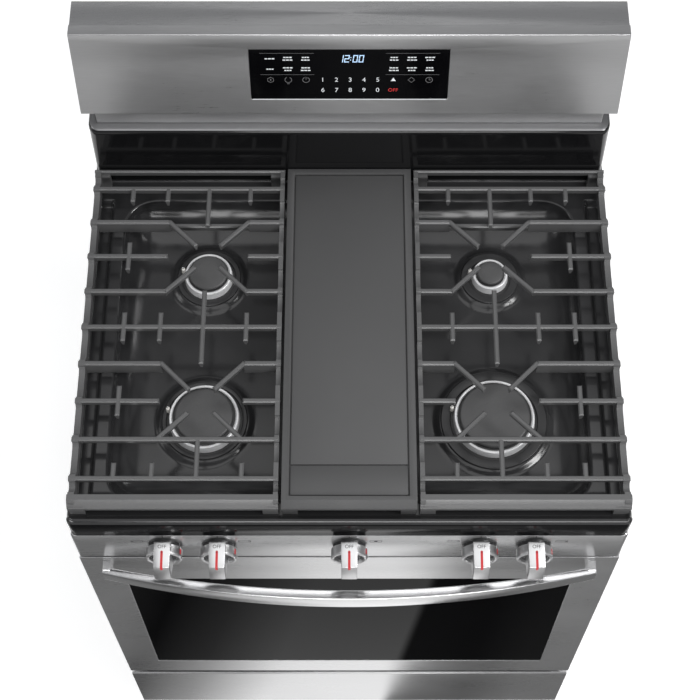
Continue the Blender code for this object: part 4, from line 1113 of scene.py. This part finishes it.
# ---- CAD nodes ----
def dress_frame():
    """Finishes for the CAD nodes, each with how far its edges are rounded."""
    for look, width, nodes in (
            ("paint_side", 0.0008, ("left_side_panel", "right_side_panel")),
            ("paint_side", 0.0006, ("drawer_box",)),
            ("zinc", 0.0006, ("back_panel", "base_pan")),
            ("zinc", 0.0004, ("fan_blade", "fan_motor", "door_hinge_left", "door_hinge_right")),
            ("steel_face", 0.0, ("backguard_rear_cover", "drawer_front")),
            ("steel_face", 0.0007, ("door_skin",)),
            ("enamel_gloss", 0.0008, ("front_frame",)),
            ("enamel_oven", 0.0, ("oven_liner",)),
            ("enamel_oven", 0.0006, ("fan_cover",)),
            ("enamel_oven", 0.0008, ("door_inner_panel",)),
            ("glass_window", 0.0005, ("door_glass",)),
            ("glass_clear", 0.0, ("door_inner_glass", "oven_lamp")),
            ("glass_screen", 0.0004, ("display_glass",)),
            ("board_green", 0.0, ("control_board",)),
            ("gasket_weave", 0.0025, ("door_gasket",)),
            ("aluminium_cast", 0.0, ("gas_valve_rail", "gas_supply_pipe", "bake_burner", "broil_burner")),
            ("brass_turned", 0.0, [f"valve_stem_{i}" for i in KNOB_BOXES]),
            ("plastic_black", 0.0, [f"levelling_foot_{end}_{side}" for end in ("front", "rear")
                                    for side in ("left", "right")])):
        for node in nodes:
            dress(node, look, width)


# ---- stage, lights and camera ----
def stage():
    """A pale floor, and graded cards on it that only reflections show, as a studio's soft boxes would."""
    bm = bmesh.new()
    bmesh.ops.create_grid(bm, x_segments=4, y_segments=4, size=9.0)
    floor = guide("floor", mesh_from("floor", bm))
    tree, shader = shader_of("floor_pale", (0.84, 0.84, 0.84), 0.0, 0.85, Emission_Color=(1.0, 1.0, 1.0, 1.0),
                             Emission_Strength=0.5)
    tree.links.new(tint(tree, noise(tree, (2.0, 2.0, 2.0)), (0.83, 0.83, 0.83), (0.85, 0.85, 0.85)),
                   shader.inputs["Base Color"])
    floor.data.materials.append(LOOKS["floor_pale"])
    reflector("near", DOOR_LOW.y - 0.002, -0.72, ((0.12, 0.22), (0.2, 0.06), (0.3, 0.44), (0.417, 1.3),
                                                  (0.598, 1.4), (0.611, 0.1), (0.72, 0.07), (0.8, 0.18)))
    reflector("middle", -0.72, -1.15, ((0.0, 0.1), (0.1, 0.75), (0.3, 1.2), (0.5, 1.2), (0.62, 0.7),
                                       (0.76, 0.2)))
    reflector("far", -1.15, -1.6, ((0.0, 0.14), (0.2, 0.44), (0.7, 0.44), (0.9, 0.16)))
    reflector("beyond", -1.6, -4.5, ((0.1, 0.62), (0.4, 0.72), (0.6, 0.8)))


def reflector(name, near, far, levels):
    """A glowing card on the floor before the range, from near to far along Y, seen only in reflections.

    The levels are (place, strength) across it. Their bands lean: they shift to the right with distance.
    """
    left, right, height, shift, band_left, band_right = -3.2, 3.4, 0.004, 0.42, -0.789, 0.411
    bm = bmesh.new()
    corners = ((left, near), (left, far), (right, far), (right, near))
    bm.faces.new([bm.verts.new((x, y, height)) for x, y in corners])
    card = guide(f"reflector_{name}", mesh_from("reflector", bm))
    glow = bpy.data.materials.new(f"reflector_{name}_glow")
    glow.use_nodes = True
    tree = glow.node_tree
    tree.nodes.clear()
    out, light_up, at, split, ramp, slant = (tree.nodes.new(f"ShaderNode{kind}") for kind in (
        "OutputMaterial", "Emission", "TexCoord", "SeparateXYZ", "ValToRGB", "Math"))
    slant.operation = "MULTIPLY_ADD"
    slant.inputs[1].default_value = shift
    tree.links.new(at.outputs["Object"], split.inputs["Vector"])
    tree.links.new(split.outputs["Y"], slant.inputs[0])
    tree.links.new(split.outputs["X"], slant.inputs[2])
    tree.links.new(spread(tree, slant.outputs["Value"], 0.0, 1.0, band_left, band_right), ramp.inputs["Fac"])
    stops = ramp.color_ramp.elements
    stops[0].position, stops[1].position = levels[0][0], levels[-1][0]
    for position, _ in levels[1:-1]:
        stops.new(position)
    for stop, (_, level) in zip(stops, levels):
        stop.color = (level, level, level, 1.0)
    tree.links.new(ramp.outputs["Color"], light_up.inputs["Color"])
    tree.links.new(light_up.outputs["Emission"], out.inputs["Surface"])
    card.data.materials.append(glow)
    card.visible_camera = False
    card.visible_diffuse = False
    card.visible_shadow = False


def area_light(name, at, target, size, power):
    """A soft rectangular light of a (width, height), aimed at a point."""
    lamp = bpy.data.lights.new(name, "AREA")
    lamp.energy = power
    lamp.shape = "RECTANGLE"
    lamp.size, lamp.size_y = size
    made = guide(name, lamp)
    made.location = at
    made.rotation_euler = (Vector(target) - Vector(at)).to_track_quat("-Z", "Y").to_euler()


def light():
    """An even surround, a wide light overhead, and softer ones in front and at the sides."""
    world = bpy.data.worlds.new("studio")
    world.use_nodes = True
    world.node_tree.nodes["Background"].inputs["Color"].default_value = (0.97, 0.98, 1.0, 1.0)
    world.node_tree.nodes["Background"].inputs["Strength"].default_value = 0.32
    bpy.context.scene.world = world
    area_light("top_soft", (0.0, -0.1, 4.6), (0.0, -0.1, 0.0), (3.4, 3.4), 42)
    area_light("front_soft", (0.2, -3.4, 2.4), (0.0, 0.0, 0.8), (1.8, 1.3), 54)
    area_light("left_strip", (-2.9, 0.3, 2.4), (0.0, 0.0, 0.9), (0.8, 2.2), 14)
    area_light("right_soft", (2.3, -0.7, 3.2), (0.0, -0.1, 0.9), (1.0, 1.0), 56)


def camera():
    """Above and in front, looking down 63 degrees, with a long lens."""
    pitch, focal_length, sensor = 63.0, 80.8457, 36.0
    lens = bpy.data.cameras.new("camera")
    lens.sensor_width = sensor
    lens.lens = focal_length
    made = guide("camera", lens)
    made.location = (0.001, -1.0377, 2.912)
    made.rotation_euler = (math.radians(90.0 - pitch), 0.0, 0.0)
    bpy.context.scene.camera = made
    bpy.context.scene.view_settings.view_transform = "Standard"


camera()
light()
make_materials()
stage()
dress_frame()
cooktop()
for burner_name in BURNERS:
    burner(burner_name)
centre_burner()
grate(-1, "left")
grate(1, "right")
griddle()
riser()
backguard()
display()
control_panel()
for number in KNOB_BOXES:
    knob(number)
handle()
rack("lower")
rack("upper")
